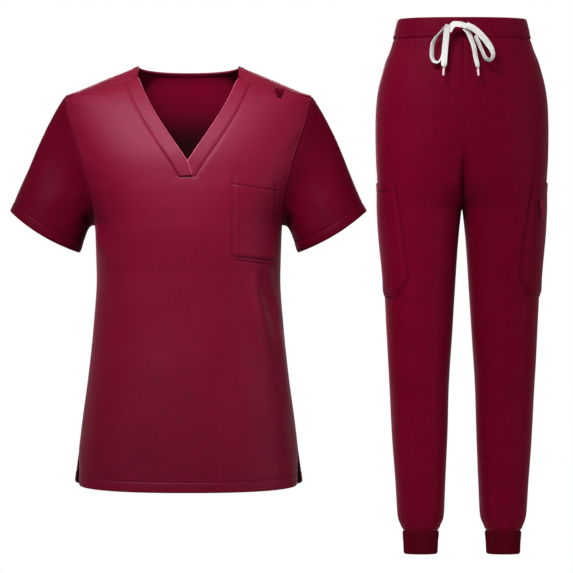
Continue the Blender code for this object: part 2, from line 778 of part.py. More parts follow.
def ring_patch(read, heights, columns):
    """A tube of rings: rows from the bottom up, closed on itself."""
    turns = [2 * math.pi * i / columns for i in range(columns)] + [0.0]
    spots = [[leg_like(read, turn, height) for turn in turns] for height in sorted(heights)]
    points = np.array([[spot[0] for spot in row] for row in spots])
    outs = np.array([[spot[1] for spot in row] for row in spots])
    return points, outs


def cargo_patch():
    """A cargo pocket over the side seam, from its front edge round to its back edge."""
    edge_at = smooth([(height, out) for out, height in CARGO_EDGE])
    heights = np.concatenate([np.linspace(CARGO_HEM_HEIGHT, -0.365, 3), np.linspace(-0.335, -0.2015, 4)])
    columns = 10
    grid, lifts = [], []
    for height in heights:
        outer, inner = leg_at(height)[:2]
        middle, half = (outer + inner) / 2, (outer - inner) / 2
        share = (edge_at(height)[0] - middle) / half
        reach = math.acos(share ** (ROUNDNESS / 2))
        grid.append([(reach * (2 * i / columns - 1), height) for i in range(columns + 1)])
        up = (height - CARGO_HEM_HEIGHT) / (-0.2015 - CARGO_HEM_HEIGHT)
        full = CARGO_FULLNESS * math.sin(math.pi * min(up + 0.12, 1.0) ** 1.4)
        lifts.append([full * math.sin(math.pi * i / columns) for i in range(columns + 1)])
    points, outs = raised(leg, grid)
    return points + outs * (np.array(lifts)[:, :, None] + CARGO_GAP + POCKET_WALL), outs


def utility_loop_patch():
    out_x, top, bottom, width = UTILITY_LOOP
    grid, lifts = [], []
    for k, height in enumerate(np.linspace(bottom, top, 5)):
        outer, inner = leg_at(height)[:2]
        middle, half = (outer + inner) / 2, (outer - inner) / 2
        centre = -math.acos(((out_x - middle) / half) ** (ROUNDNESS / 2))
        spread = width / 2 / (half + 0.02)
        grid.append([(centre + spread * side, height) for side in (-1, 0, 1)])
        lifts.append([0.0022 * math.sin(math.pi * k / 4)] * 3)
    points, outs = raised(leg, grid)
    base = 2 * (CARGO_GAP + POCKET_WALL) + CARGO_FULLNESS
    return points + outs * (np.array(lifts)[:, :, None] + base), outs


def build_trousers():
    pair("trouser_front", leg_panel(-1))
    pair("trouser_back", leg_panel(1))
    pair("cuff", ring_patch(cuff_at, [row[0] for row in CUFF], 28), 0.0018, RIB_COLOUR)
    band = ring_patch(waistband_at, [row[0] for row in WAISTBAND], WAISTBAND_COLUMNS)
    shell("waistband", [moved(band, TROUSERS_X)], 0.0025)
    pair("cargo_pocket", cargo_patch(), POCKET_WALL)
    shell("utility_loop", [moved(utility_loop_patch(), TROUSERS_X)], POCKET_WALL)


def ribbon(name, rows, sections=14):
    """A flat cord along the rows' smooth line, turned edge-on where less of its width is seen."""
    line = np.array(eased(rows, sections))
    verts = []
    for k, row in enumerate(line):
        along = unit(line[min(k + 1, sections - 1)][:3] - line[max(k - 1, 0)][:3])
        facing = np.array((0.0, -1.0, 0.0))
        facing = unit(facing - along * float(facing @ along))
        aside = np.cross(along, facing)
        turn = math.acos(min(row[3] / CORD_WIDTH, 1.0))
        wide = aside * math.cos(turn) + facing * math.sin(turn)
        thick = np.cross(wide, along)
        width = min(CORD_WIDTH, max(row[3], 0.0105 if row[3] > 0.0045 else 0.006))
        for side, face in ((-1, -1), (1, -1), (1, 1), (-1, 1)):
            corner = row[:3] + wide * side * width / 2 + thick * face * CORD_THICKNESS / 2
            verts.append(corner + np.array((TROUSERS_X, 0.0, 0.0)))
    faces = [(0, 1, 2, 3)]
    for k in range(sections - 1):
        at = 4 * k
        for i in range(4):
            j = (i + 1) % 4
            faces.append((at + j, at + i, at + 4 + i, at + 4 + j))
    last = 4 * (sections - 1)
    faces.append((last + 3, last + 2, last + 1, last))
    add_object(name, verts, faces, CORD_COLOUR, 0.7, 0)


def aglet(name, rows):
    end, before = np.array(rows[-1][:3]), np.array(rows[-2][:3])
    along = unit(unit(end - before) + np.array((0.0, 0.0, -0.5)))
    start = end + along * 0.0008 + np.array((TROUSERS_X, 0.0, 0.0))
    centre = start + along * AGLET_LENGTH / 2
    bpy.ops.mesh.primitive_cylinder_add(
        vertices=16, radius=AGLET_RADIUS, depth=AGLET_LENGTH, location=tuple(centre)
    )
    made = bpy.context.object
    made.name = name
    made.data.name = name
    made.rotation_mode = "QUATERNION"
    made.rotation_quaternion = mathutils.Vector((0, 0, 1)).rotation_difference(
        mathutils.Vector(tuple(along))
    )
    bpy.ops.object.transform_apply(location=True, rotation=True, scale=True)
    made.data.materials.append(material("aglet", AGLET_COLOUR, 0.4))
    bpy.ops.object.shade_smooth_by_angle(angle=math.radians(40))


def build_drawstring():
    ribbon("drawstring_knot", ARCH)
    ribbon("drawstring_tail_right", TAIL_RIGHT)
    ribbon("drawstring_tail_left", TAIL_LEFT)
    ribbon("drawstring_loop_right", LOOP_RIGHT, 24)
    ribbon("drawstring_loop_left", LOOP_LEFT, 26)
    aglet("aglet_right", TAIL_RIGHT)
    aglet("aglet_left", TAIL_LEFT)


def main():
    for obj in list(bpy.data.objects):
        bpy.data.objects.remove(obj, do_unlink=True)
    build_body()
    build_sleeves()
    build_neck()
    build_chest_details()
    build_trousers()
    build_drawstring()


if __name__ == "__main__":
    main()
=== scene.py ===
"""Medical scrubs as sewn cloth: the visible shells, seams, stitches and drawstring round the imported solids.

Units are metres, +Z is up and the fronts face -Y. The cloth follows the same sections as its solids,
at a finer step, with the creases, seams and hems that the plain solids leave out.
"""

import math

import bpy
import numpy as np
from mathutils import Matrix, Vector
from mathutils.bvhtree import BVHTree
from mathutils.kdtree import KDTree


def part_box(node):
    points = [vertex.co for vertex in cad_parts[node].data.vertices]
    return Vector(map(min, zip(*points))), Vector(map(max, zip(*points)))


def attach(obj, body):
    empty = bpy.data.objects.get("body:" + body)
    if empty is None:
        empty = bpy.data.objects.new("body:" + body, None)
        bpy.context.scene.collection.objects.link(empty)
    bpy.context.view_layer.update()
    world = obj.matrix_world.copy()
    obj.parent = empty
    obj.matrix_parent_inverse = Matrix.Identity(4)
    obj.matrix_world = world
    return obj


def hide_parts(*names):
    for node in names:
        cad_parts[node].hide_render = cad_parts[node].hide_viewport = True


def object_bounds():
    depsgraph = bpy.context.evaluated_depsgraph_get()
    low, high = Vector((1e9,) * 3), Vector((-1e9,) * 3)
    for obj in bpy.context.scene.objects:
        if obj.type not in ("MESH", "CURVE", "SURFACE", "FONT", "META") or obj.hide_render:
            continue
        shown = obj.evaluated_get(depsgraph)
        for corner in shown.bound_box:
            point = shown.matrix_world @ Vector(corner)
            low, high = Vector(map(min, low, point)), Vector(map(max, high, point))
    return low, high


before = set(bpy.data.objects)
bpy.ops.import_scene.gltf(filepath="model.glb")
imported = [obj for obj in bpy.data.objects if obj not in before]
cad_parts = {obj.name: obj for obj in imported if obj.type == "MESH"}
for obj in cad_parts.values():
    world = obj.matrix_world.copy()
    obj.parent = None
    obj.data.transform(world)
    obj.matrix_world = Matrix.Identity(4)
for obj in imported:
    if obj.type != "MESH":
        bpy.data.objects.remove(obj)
CAD_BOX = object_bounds()
WAIST_LOW, WAIST_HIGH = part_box("waistband")
TROUSERS_X = (WAIST_LOW.x + WAIST_HIGH.x) / 2

bl_info = {
    "name": "Medical Scrubs",
    "version": (1, 0, 0),
    "blender": (4, 5, 0),
    "location": "View3D > Sidebar > Scrubs",
    "description": "Sewn cloth for a V-neck top and jogger trousers, built round their solids",
    "category": "Object",
}

ROUNDNESS = 2.35
QUARTER = math.pi / 2
LINE_STEP = 0.0006
CELL = 0.0042
# Distances in from a cut edge, and either side of a stitched line, where the cloth turns sharply
AT_SEAM = (0.0, 0.0006, 0.0013, 0.0022, 0.0034, 0.0050, 0.0072)
AT_GROOVE = (-0.0030, -0.0018, -0.0008, 0.0, 0.0008, 0.0018, 0.0030)

# The torso: height, half width, front depth, back depth
TORSO = (
    (0.000, 0.0855, 0.012, 0.052),
    (-0.009, 0.1080, 0.026, 0.061),
    (-0.018, 0.1310, 0.038, 0.067),
    (-0.030, 0.1600, 0.050, 0.073),
    (-0.042, 0.1880, 0.059, 0.078),
    (-0.053, 0.2135, 0.066, 0.082),
    (-0.066, 0.2175, 0.075, 0.087),
    (-0.089, 0.2175, 0.088, 0.093),
    (-0.136, 0.2105, 0.108, 0.102),
    (-0.165, 0.2025, 0.116, 0.105),
    (-0.190, 0.1945, 0.120, 0.106),
    (-0.217, 0.1840, 0.123, 0.106),
    (-0.248, 0.1705, 0.124, 0.105),
    (-0.265, 0.1632, 0.124, 0.104),
    (-0.275, 0.1608, 0.124, 0.103),
    (-0.323, 0.1590, 0.121, 0.098),
    (-0.365, 0.1580, 0.118, 0.095),
    (-0.447, 0.1634, 0.117, 0.101),
    (-0.530, 0.1720, 0.120, 0.110),
    (-0.612, 0.1830, 0.124, 0.119),
    (-0.674, 0.1900, 0.126, 0.123),
    (-0.740, 0.1960, 0.127, 0.126),
)
# The armhole from underarm to shoulder: distance out, height
FRONT_ARMHOLE = (
    (0.1608, -0.275),
    (0.1625, -0.248),
    (0.1670, -0.217),
    (0.1740, -0.190),
    (0.1805, -0.165),
    (0.1910, -0.136),
    (0.2050, -0.089),
    (0.2115, -0.057),
)
BACK_ARMHOLE = (
    (0.1608, -0.275),
    (0.1628, -0.248),
    (0.1680, -0.217),
    (0.1755, -0.190),
    (0.1825, -0.165),
    (0.1930, -0.136),
    (0.2065, -0.089),
    (0.2122, -0.058),
)
SHOULDER_TIP_ACROSS = 0.2124
# The forward shoulder seam from arm to neck: distance out, height
SHOULDER_SEAM = (
    (0.2115, -0.0570),
    (0.1880, -0.0500),
    (0.1550, -0.0395),
    (0.1300, -0.0345),
    (0.1080, -0.0285),
)
BAND_TOP = ((0.1080, -0.0285), (0.0865, -0.0195))
BAND_OUTER = (
    (0.1080, -0.0285),
    (0.0860, -0.0780),
    (0.0600, -0.1220),
    (0.0240, -0.1760),
    (0.0155, -0.1900),
)
BAND_INNER = ((0.0865, -0.0195), (0.0650, -0.0660), (0.0000, -0.1665))
V_END_HALF = 0.0155
V_END_HEIGHT = -0.1915
BAND_OVERLAP = (-0.0085, -0.1905)
BAND_UNDERLAP = (-0.0130, -0.1905)
BAND_LIFT = 0.0023
BINDING_END = (0.0912, -0.0214)
BINDING = 0.005
BACK_NECK_HEIGHT = -0.0095
NECK_HALF = 0.0855
UNDERARM = FRONT_ARMHOLE[0][1]
HEM_HEIGHT = -0.7290
HEM_CORNER_HEIGHT = -0.7120
VENT_TOP = -0.659

SLEEVE_HEM_OUTER = (0.3070, -0.2490)
SLEEVE_HEM_INNER = (0.1885, -0.3210)
SLEEVE_HEM_DEPTH = 0.066
SLEEVE_HEM_DIP = 0.007

# A trouser leg: height, outer edge, inner edge, front depth, back depth
LEG = (
    (0.0447, 0.1180, -0.1180, 0.088, 0.098),
    (0.0275, 0.1230, -0.1200, 0.091, 0.102),
    (0.0070, 0.1316, -0.1230, 0.095, 0.109),
    (-0.014, 0.1376, -0.1230, 0.098, 0.116),
    (-0.034, 0.1428, -0.1200, 0.100, 0.122),
    (-0.055, 0.1462, -0.1160, 0.101, 0.127),
    (-0.076, 0.1480, -0.1100, 0.102, 0.130),
    (-0.110, 0.1488, -0.0940, 0.102, 0.132),
    (-0.158, 0.1480, -0.0620, 0.100, 0.130),
    (-0.200, 0.1455, -0.0330, 0.096, 0.122),
    (-0.247, 0.1430, 0.0004, 0.088, 0.106),
    (-0.261, 0.1418, 0.0024, 0.087, 0.103),
    (-0.303, 0.1385, 0.0066, 0.083, 0.096),
    (-0.385, 0.1332, 0.0120, 0.076, 0.087),
    (-0.468, 0.1290, 0.0172, 0.069, 0.079),
    (-0.550, 0.1247, 0.0224, 0.063, 0.074),
    (-0.633, 0.1204, 0.0249, 0.058, 0.070),
    (-0.7155, 0.1144, 0.0284, 0.053, 0.064),
    (-0.757, 0.1118, 0.0301, 0.049, 0.059),
    (-0.777, 0.1092, 0.0327, 0.046, 0.055),
    (-0.788, 0.1049, 0.0375, 0.043, 0.050),
    (-0.798, 0.1008, 0.0410, 0.040, 0.045),
)
WAIST_SEAM, CROTCH_HEIGHT, ANKLE_SEAM = 0.0447, -0.247, -0.798
CUFF = (
    (-0.7984, 0.1012, 0.0406, 0.0400, 0.0450),
    (-0.8020, 0.1018, 0.0400, 0.0405, 0.0455),
    (-0.8180, 0.1006, 0.0412, 0.0395, 0.0440),
    (-0.8380, 0.0998, 0.0421, 0.0385, 0.0430),
)
WAISTBAND = (
    (0.0451, 0.1180, -0.1180, 0.0880, 0.0980),
    (0.0520, 0.1172, -0.1172, 0.0872, 0.0968),
    (0.0660, 0.1145, -0.1145, 0.0852, 0.0945),
    (0.0800, 0.1110, -0.1110, 0.0830, 0.0920),
)

# The chest pocket's corners on the wearer's left: across, height (upper two, then lower two)
CHEST_POCKET = ((0.0760, -0.1900), (0.1510, -0.2005), (0.0760, -0.3300), (0.1500, -0.3385))
PEN_SLOT = 0.0098
BADGE_LOOP = ((0.1485, -0.0390), (0.1548, -0.0555), (0.1612, -0.0430))
CARGO_EDGE = (
    (0.1180, -0.2015),
    (0.1080, -0.2640),
    (0.1010, -0.3060),
    (0.0945, -0.3650),
    (0.1115, -0.3940),
)
CARGO_TOP, CARGO_BOTTOM = -0.2015, -0.3945
CARGO_FULLNESS = 0.0022
UTILITY_LOOP = (0.1285, -0.2315, -0.2640, 0.0085)

CORD_WIDTH = 0.0105
CORD_THICKNESS = 0.0016
AGLET_RADIUS = 0.0022
# Drawstring lines: across, out in front of the middle, height, width seen from the front
ARCH = (
    (-0.0250, -0.1025, 0.0535, 0.0070),
    (-0.0215, -0.1022, 0.0615, 0.0090),
    (-0.0160, -0.1015, 0.0668, 0.0100),
    (-0.0085, -0.1010, 0.0665, 0.0098),
    (0.0000, -0.1010, 0.0645, 0.0095),
    (0.0058, -0.1025, 0.0620, 0.0090),
)
TAIL_RIGHT = (
    (-0.0285, -0.1055, 0.0660, 0.0070),
    (-0.0295, -0.1060, 0.0560, 0.0100),
    (-0.0320, -0.1060, 0.0310, 0.0104),
    (-0.0335, -0.1080, 0.0140, 0.0104),
    (-0.0345, -0.1110, -0.0010, 0.0100),
    (-0.0350, -0.1120, -0.0075, 0.0044),
)
TAIL_LEFT = (
    (0.0010, -0.0990, 0.0600, 0.0085),
    (0.0060, -0.1000, 0.0540, 0.0080),
    (0.0120, -0.1020, 0.0410, 0.0078),
    (0.0170, -0.1050, 0.0255, 0.0080),
    (0.0198, -0.1080, 0.0080, 0.0080),
    (0.0220, -0.1110, -0.0020, 0.0074),
    (0.0228, -0.1120, -0.0080, 0.0044),
)
LOOP_RIGHT = (
    (-0.0320, -0.0980, 0.0610, 0.0050),
    (-0.0400, -0.0980, 0.0530, 0.0040),
    (-0.0495, -0.0990, 0.0410, 0.0050),
    (-0.0540, -0.1000, 0.0300, 0.0065),
    (-0.0548, -0.1010, 0.0150, 0.0070),
    (-0.0515, -0.1015, 0.0040, 0.0060),
    (-0.0450, -0.1010, 0.0020, 0.0045),
    (-0.0395, -0.1000, 0.0080, 0.0040),
    (-0.0345, -0.0990, 0.0260, 0.0040),
    (-0.0300, -0.0975, 0.0450, 0.0040),
)
LOOP_LEFT = (
    (0.0035, -0.1050, 0.0655, 0.0100),
    (0.0180, -0.1065, 0.0575, 0.0108),
    (0.0310, -0.1080, 0.0450, 0.0108),
    (0.0410, -0.1090, 0.0325, 0.0104),
    (0.0470, -0.1100, 0.0215, 0.0085),
    (0.0488, -0.1110, 0.0135, 0.0065),
    (0.0465, -0.1120, 0.0075, 0.0050),
    (0.0415, -0.1120, 0.0050, 0.0050),
    (0.0362, -0.1110, 0.0085, 0.0050),
    (0.0305, -0.1090, 0.0205, 0.0050),
    (0.0232, -0.1050, 0.0375, 0.0050),
    (0.0190, -0.1020, 0.0470, 0.0050),
)

# Creases: start across and height, end across and height, half width, depth, sideways bow
FRONT_CREASES = (
    (0.128, -0.346, 0.160, -0.470, 0.011, -0.0058, 0.003),
    (0.106, -0.360, 0.154, -0.560, 0.016, 0.0036, 0.004),
    (0.150, -0.350, 0.176, -0.590, 0.007, 0.0022, 0.003),
    (-0.120, -0.345, -0.150, -0.520, 0.022, -0.0030, 0.000),
    (-0.030, -0.430, -0.060, -0.680, 0.030, 0.0020, 0.000),
    (0.055, -0.450, 0.080, -0.690, 0.030, -0.0020, 0.000),
    (0.147, -0.338, 0.158, -0.420, 0.007, -0.0022, 0.002),
    (0.134, -0.345, 0.150, -0.410, 0.006, 0.0014, 0.001),
    (-0.196, -0.105, -0.150, -0.175, 0.010, -0.0010, 0.004),
    (0.200, -0.110, 0.158, -0.170, 0.009, -0.0009, -0.004),
    (-0.150, -0.262, -0.112, -0.330, 0.011, -0.0020, 0.004),
    (-0.152, -0.300, -0.100, -0.330, 0.009, 0.0008, -0.002),
    (-0.168, -0.560, -0.178, -0.690, 0.014, -0.0016, 0.003),
    (0.172, -0.575, 0.181, -0.700, 0.013, -0.0014, -0.003),
    (-0.110, -0.560, -0.122, -0.725, 0.018, 0.0010, 0.004),
    (0.012, -0.600, 0.004, -0.725, 0.020, -0.0009, 0.003),
)
BACK_CREASES = (
    (-0.120, -0.120, -0.035, -0.150, 0.016, -0.0016, 0.006),
    (0.130, -0.140, 0.050, -0.175, 0.014, -0.0013, -0.005),
    (-0.140, -0.300, -0.045, -0.345, 0.013, -0.0020, 0.006),
    (0.142, -0.310, 0.055, -0.362, 0.015, -0.0022, -0.008),
    (-0.135, -0.350, -0.030, -0.375, 0.011, 0.0014, 0.004),
    (0.120, -0.372, 0.020, -0.398, 0.012, 0.0013, -0.005),
    (-0.062, -0.420, -0.085, -0.690, 0.024, 0.0024, 0.006),
    (0.070, -0.435, 0.098, -0.700, 0.026, -0.0024, -0.006),
    (0.010, -0.480, 0.002, -0.715, 0.028, 0.0020, 0.005),
    (-0.140, -0.480, -0.158, -0.690, 0.020, -0.0020, 0.004),
)
LEG_FRONT_CREASES = (
    (0.010, -0.200, 0.050, -0.150, 0.009, -0.0007, 0.004),
    (0.012, -0.226, 0.060, -0.205, 0.008, -0.0005, 0.003),
    (0.060, -0.395, 0.120, -0.372, 0.014, 0.0010, 0.004),
    (0.040, -0.470, 0.098, -0.500, 0.015, -0.0011, 0.005),
    (0.112, -0.520, 0.056, -0.548, 0.013, 0.0010, -0.004),
    (0.045, -0.640, 0.098, -0.664, 0.013, -0.0010, 0.005),
    (0.072, -0.250, 0.078, -0.620, 0.020, 0.0012, 0.003),
    (0.100, -0.690, 0.090, -0.775, 0.008, -0.0011, 0.002),
    (0.052, -0.705, 0.056, -0.785, 0.007, -0.0012, -0.002),
    (0.072, -0.722, 0.072, -0.786, 0.006, 0.0008, 0.001),
)
LEG_BACK_CREASES = (
    (0.018, -0.215, 0.090, -0.160, 0.014, -0.0028, 0.008),
    (0.016, -0.238, 0.100, -0.206, 0.012, -0.0024, 0.008),
    (0.020, -0.262, 0.092, -0.262, 0.012, 0.0016, 0.005),
    (0.122, -0.455, 0.034, -0.486, 0.013, -0.0022, 0.006),
    (0.030, -0.505, 0.110, -0.532, 0.012, -0.0024, -0.006),
    (0.116, -0.540, 0.048, -0.566, 0.012, 0.0014, 0.004),
    (0.040, -0.660, 0.100, -0.690, 0.012, -0.0016, 0.005),
    (0.084, -0.700, 0.080, -0.780, 0.009, -0.0014, 0.002),
    (0.060, -0.715, 0.058, -0.786, 0.008, 0.0012, 0.002),
)
# Sleeve creases: start turn and reach, end turn and reach, half width, depth, sideways bow
SLEEVE_CREASES = (
    (0.300, 0.06, 0.205, 0.62, 0.040, -0.0022, 0.010),
    (0.360, 0.10, 0.290, 0.70, 0.034, -0.0018, 0.012),
    (0.430, 0.05, 0.400, 0.60, 0.034, -0.0020, 0.008),
    (0.250, 0.35, 0.170, 0.85, 0.036, 0.0014, 0.010),
    (0.130, 0.00, 0.110, 0.50, 0.040, -0.0012, 0.010),
    (0.700, 0.04, 0.780, 0.62, 0.040, -0.0022, 0.010),
    (0.620, 0.08, 0.680, 0.74, 0.036, -0.0018, 0.010),
    (0.860, 0.05, 0.900, 0.55, 0.040, 0.0013, 0.008),
)


# ------------------------------------------------------------------ settings


def length(name, about, size):
    """A length that shows in the panel."""
    return bpy.props.FloatProperty(name=name, description=about, default=size, unit="LENGTH", precision=4)


def colour(name, about, value):
    """A colour that shows in the panel."""
    return bpy.props.FloatVectorProperty(name=name, description=about, default=value, subtype="COLOR")


class ScrubsSizes(bpy.types.PropertyGroup):
    """Sizes that a maker would change"""

    cloth: length("Cloth", "Thickness of the panels", 0.0014)
    pocket_cloth: length("Pocket cloth", "Thickness of pockets and loops", 0.0011)
    band_cloth: length("Waistband", "Thickness of the waistband", 0.0025)
    rib_cloth: length("Rib", "Thickness of the ribbed cuffs", 0.0018)
    seam: length("Seam depth", "How far cloth turns in at a seam", 0.0010)
    top_hem: length("Top hem", "Depth of the top's stitched hem", 0.018)
    sleeve_hem: length("Sleeve hem", "Depth of a sleeve's stitched hem", 0.017)
    pocket_hem: length("Pocket hem", "Depth of the pockets' stitched hems", 0.0155)
    edge_stitch: length("Edge stitch", "From a pocket's edge to its stitches", 0.0017)
    stitch: length("Stitch", "Length of one stitch", 0.0024)
    stitch_pitch: length("Stitch pitch", "From one stitch to the next", 0.0031)
    ribs: bpy.props.IntProperty(name="Ribs", description="Ribs round one cuff", default=92, min=20)


class ScrubsFinish(bpy.types.PropertyGroup):
    """Colours and the camera's place"""

    cloth: colour("Cloth", "Colour of the cloth", (0.089, 0.0005, 0.0092))
    rib: colour("Rib", "Colour of the ribbed cuffs", (0.070, 0.0004, 0.0060))
    cord: colour("Cord", "Colour of the drawstring", (0.70, 0.69, 0.68))
    aglet: colour("Aglet", "Colour of the drawstring's tips", (0.80, 0.52, 0.55))
    floor: colour("Floor", "Colour of the floor", (0.66, 0.66, 0.66))
    distance: length("Camera distance", "From the camera to the middle", 8.0)
    view_width: length("View width", "Width seen at the middle", 0.9856)


# ------------------------------------------------------------------ lines and forms


def unit(vectors):
    vectors = np.asarray(vectors, float)
    return vectors / np.maximum(np.linalg.norm(vectors, axis=-1, keepdims=True), 1e-12)


def signed_power(value, power):
    return np.copysign(np.abs(value) ** power, value)


def eased_step(value):
    value = np.clip(value, 0.0, 1.0)
    return value * value * (3 - 2 * value)


def hump(distance, width):
    return np.exp(-((distance / width) ** 2))


def smooth(rows):
    """A function that runs smoothly through the rows, read by their first column, with no overshoot."""
    table = np.array(sorted(rows))
    at, values = table[:, 0], table[:, 1:]
    widths = np.diff(at)[:, None]
    rises = np.diff(values, axis=0) / widths
    slopes = np.zeros_like(values)
    slopes[0], slopes[-1] = rises[0], rises[-1]
    before, after = rises[:-1], rises[1:]
    same_way = before * after > 0
    total = np.where(same_way, before + after, 1.0)
    slopes[1:-1] = np.where(same_way, 2.0 * before * after / total, 0.0)

    def read(where):
        where = np.asarray(where, float)
        k = np.clip(np.searchsorted(at, where) - 1, 0, len(at) - 2)
        width = (at[k + 1] - at[k])[..., None]
        t = np.clip((where - at[k])[..., None] / width, 0.0, 1.0)
        start = (1 + 2 * t) * (1 - t) ** 2 * values[k] + t * (1 - t) ** 2 * width * slopes[k]
        end = t * t * (3 - 2 * t) * values[k + 1] - t * t * (1 - t) * width * slopes[k + 1]
        return start + end

    return read


torso_at = smooth(TORSO)
leg_at = smooth(LEG)
cuff_at = smooth(CUFF)
waistband_at = smooth(WAISTBAND)

def cargo_edge_at(height):
    """The front edge of a cargo pocket, straight between the rows of its table."""
    out, level = np.array(CARGO_EDGE[::-1]).T
    return np.interp(height, level, out)


RIDGE_HEIGHTS = np.linspace(0.0, -0.0534, 90)
RIDGE_ACROSS = torso_at(RIDGE_HEIGHTS)[:, 0]


def resample(points, count, form=None):
    """count + 1 of the points' positions, evenly spaced along the line they make on the form."""
    points = np.array(points, float)
    placed = points if form is None else form(points[:, 0], points[:, 1])[0]
    lengths = np.concatenate([[0.0], np.cumsum(np.linalg.norm(np.diff(placed, axis=0), axis=1))])
    where = np.linspace(0.0, lengths[-1], count + 1)
    return np.stack([np.interp(where, lengths, points[:, k]) for k in range(points.shape[1])], 1)


def eased(points, count=60):
    """A smooth line through the points, as many fine steps."""
    points = np.array(points, float)
    lengths = np.concatenate([[0.0], np.cumsum(np.linalg.norm(np.diff(points, axis=0), axis=1))])
    read = smooth(np.column_stack([lengths, points]).tolist())
    return read(np.linspace(0.0, lengths[-1], count))


def fine(line):
    """The line with a point every LINE_STEP, to measure distances from."""
    length = np.linalg.norm(np.diff(line, axis=0), axis=1).sum()
    return resample(line, max(int(length / LINE_STEP), 2))


def far_from(points, *lines):
    """How far each point of a grid is from the nearest of the lines."""
    line = np.concatenate([fine(line) for line in lines])
    tree = KDTree(len(line))
    for index, point in enumerate(line):
        tree.insert(point, index)
    tree.balance()
    flat = points.reshape(-1, 3)
    found = np.array([tree.find(point)[2] for point in flat])
    return found.reshape(points.shape[:-1])


def shares(lengths, start, end, cell=CELL):
    """Places from 0 to 1 along lines of these lengths: at set distances from both ends, even between."""
    lengths = np.atleast_1d(np.asarray(lengths, float))
    start, end = np.array(start)[:, None], np.array(end)[::-1][:, None]
    inner = max(int((lengths.max() - start.max() - end.max()) / cell), 1)
    between = np.linspace(0, 1, inner + 2)[1:-1, None]
    middle = start.max() + (lengths - start.max() - end.max()) * between
    return np.concatenate([start + 0 * lengths, middle, lengths - end]) / lengths


def with_groove(offsets, where):
    """Edge distances with a stitched line's own, that many metres in."""
    return tuple(sorted(set(offsets) | {round(where + step, 5) for step in AT_GROOVE}))


def filled(bottom, top, left, right, u, v):
    """Places filled in between four edges, each an evenly stepped line, at shares u and v."""

    def along(line, where):
        steps = np.linspace(0, 1, len(line))
        return np.stack([np.interp(where, steps, line[:, k]) for k in range(line.shape[1])], -1)

    lines = (1 - v)[..., None] * along(bottom, u) + v[..., None] * along(top, u)
    lines = lines + (1 - u)[..., None] * along(left, v) + u[..., None] * along(right, v)
    corners = ((1 - u) * (1 - v))[..., None] * bottom[0] + (u * (1 - v))[..., None] * bottom[-1]
    corners = corners + ((1 - u) * v)[..., None] * top[0] + (u * v)[..., None] * top[-1]
    return lines - corners


def creased(across, height, table):
    """How far the creases of a table move each place in or out."""
    moved = np.zeros(np.broadcast(across, height).shape)
    for x0, z0, x1, z1, width, depth, bow in table:
        run_x, run_z = x1 - x0, z1 - z0
        length = math.hypot(run_x, run_z)
        along = ((across - x0) * run_x + (height - z0) * run_z) / length**2
        inside = np.clip(along, 0.0, 1.0)
        aside = ((across - x0) * run_z - (height - z0) * run_x) / length - bow * np.sin(math.pi * inside)
        spread = width * (0.75 + 0.5 * inside)
        fade = np.sin(math.pi * inside) ** 0.8
        moved = moved + depth * fade * (hump(aside, spread) - 0.3 * hump(aside - 1.8 * spread, 1.2 * spread))
    return moved


def drift(across, height, amount, size, seed):
    """A slow unevenness, as in cloth that has been pressed and worn."""
    draw = np.random.default_rng(seed)
    moved = 0.0
    for _ in range(7):
        turn = draw.uniform(0, math.pi)
        wave = 2 * math.pi / (size * draw.uniform(0.6, 1.8))
        run = (across * math.cos(turn) + height * math.sin(turn)) * wave
        moved = moved + np.sin(run + draw.uniform(0, 6.3))
    return moved * amount / 3.5


def gathers(where, pitch, seed):
    """Uneven puckers along a seam, from -1 to 1."""
    draw = np.random.default_rng(seed)
    moved = 0.0
    for share in (1.0, 1.7, 0.55, 2.6):
        wave = 2 * math.pi / (pitch * share * draw.uniform(0.9, 1.1))
        moved = moved + np.sin(where * wave + draw.uniform(0, 6.3))
    return moved / 2.6


def torso(angle, height):
    """The torso's points and outward directions. Angle 0 is the wearer's left side, -90 degrees the front."""
    half_width, front, back = np.moveaxis(torso_at(height), -1, 0)
    across, along = np.cos(angle), np.sin(angle)
    depth = np.where(along < 0, front, back)
    x = half_width * signed_power(across, 2 / ROUNDNESS)
    y = depth * signed_power(along, 2 / ROUNDNESS)
    step = 0.0015
    above, below = torso_at(height + step), torso_at(height - step)
    change = (above - below) / (2 * step)
    deepening = np.where(along < 0, change[..., 1], change[..., 2])
    out = unit(np.stack([
        signed_power(across, 2 - 2 / ROUNDNESS) / half_width,
        signed_power(along, 2 - 2 / ROUNDNESS) / depth,
        -(across**2) * change[..., 0] / half_width - along**2 * deepening / depth,
    ], -1))
    points = np.stack([x, y, np.broadcast_to(height, x.shape)], -1)
    front_fold = creased(x, height, FRONT_CREASES) + drift(x, height, 0.0006, 0.16, 3)
    back_fold = creased(x, height, BACK_CREASES) + drift(x, height, 0.0010, 0.14, 8)
    side = eased_step(np.abs(along) / 0.35)
    moved = np.where(along < 0, front_fold, back_fold) * side
    return points + out * moved[..., None], out


def torso_angle(x, height, face):
    """The angle at which the torso is x across at this height, on its front (-1) or back (+1)."""
    share = np.clip(x / torso_at(height)[..., 0], -1.0, 1.0)
    return face * np.arccos(signed_power(share, ROUNDNESS / 2))


def ridge_height(across):
    """The height of the shoulder's ridge this far across, and 0 inside the neck."""
    return np.interp(np.abs(across), RIDGE_ACROSS, RIDGE_HEIGHTS)


def front_spot(across, height):
    return torso(torso_angle(across, height, -1), height)


def back_spot(across, rise):
    """A place on the back, or past the shoulder's ridge, where the rise goes on down the front."""
    ridge = ridge_height(across)
    forward = rise > ridge
    height = np.where(forward, 2 * ridge - rise, rise)
    return torso(torso_angle(across, height, np.where(forward, -1, 1)), height)


def turned_up(line):
    """Places on the front of the shoulder, with their heights unrolled as rises."""
    line = np.array(line, float)
    return np.column_stack([line[:, 0], 2 * ridge_height(line[:, 0]) - line[:, 1]])


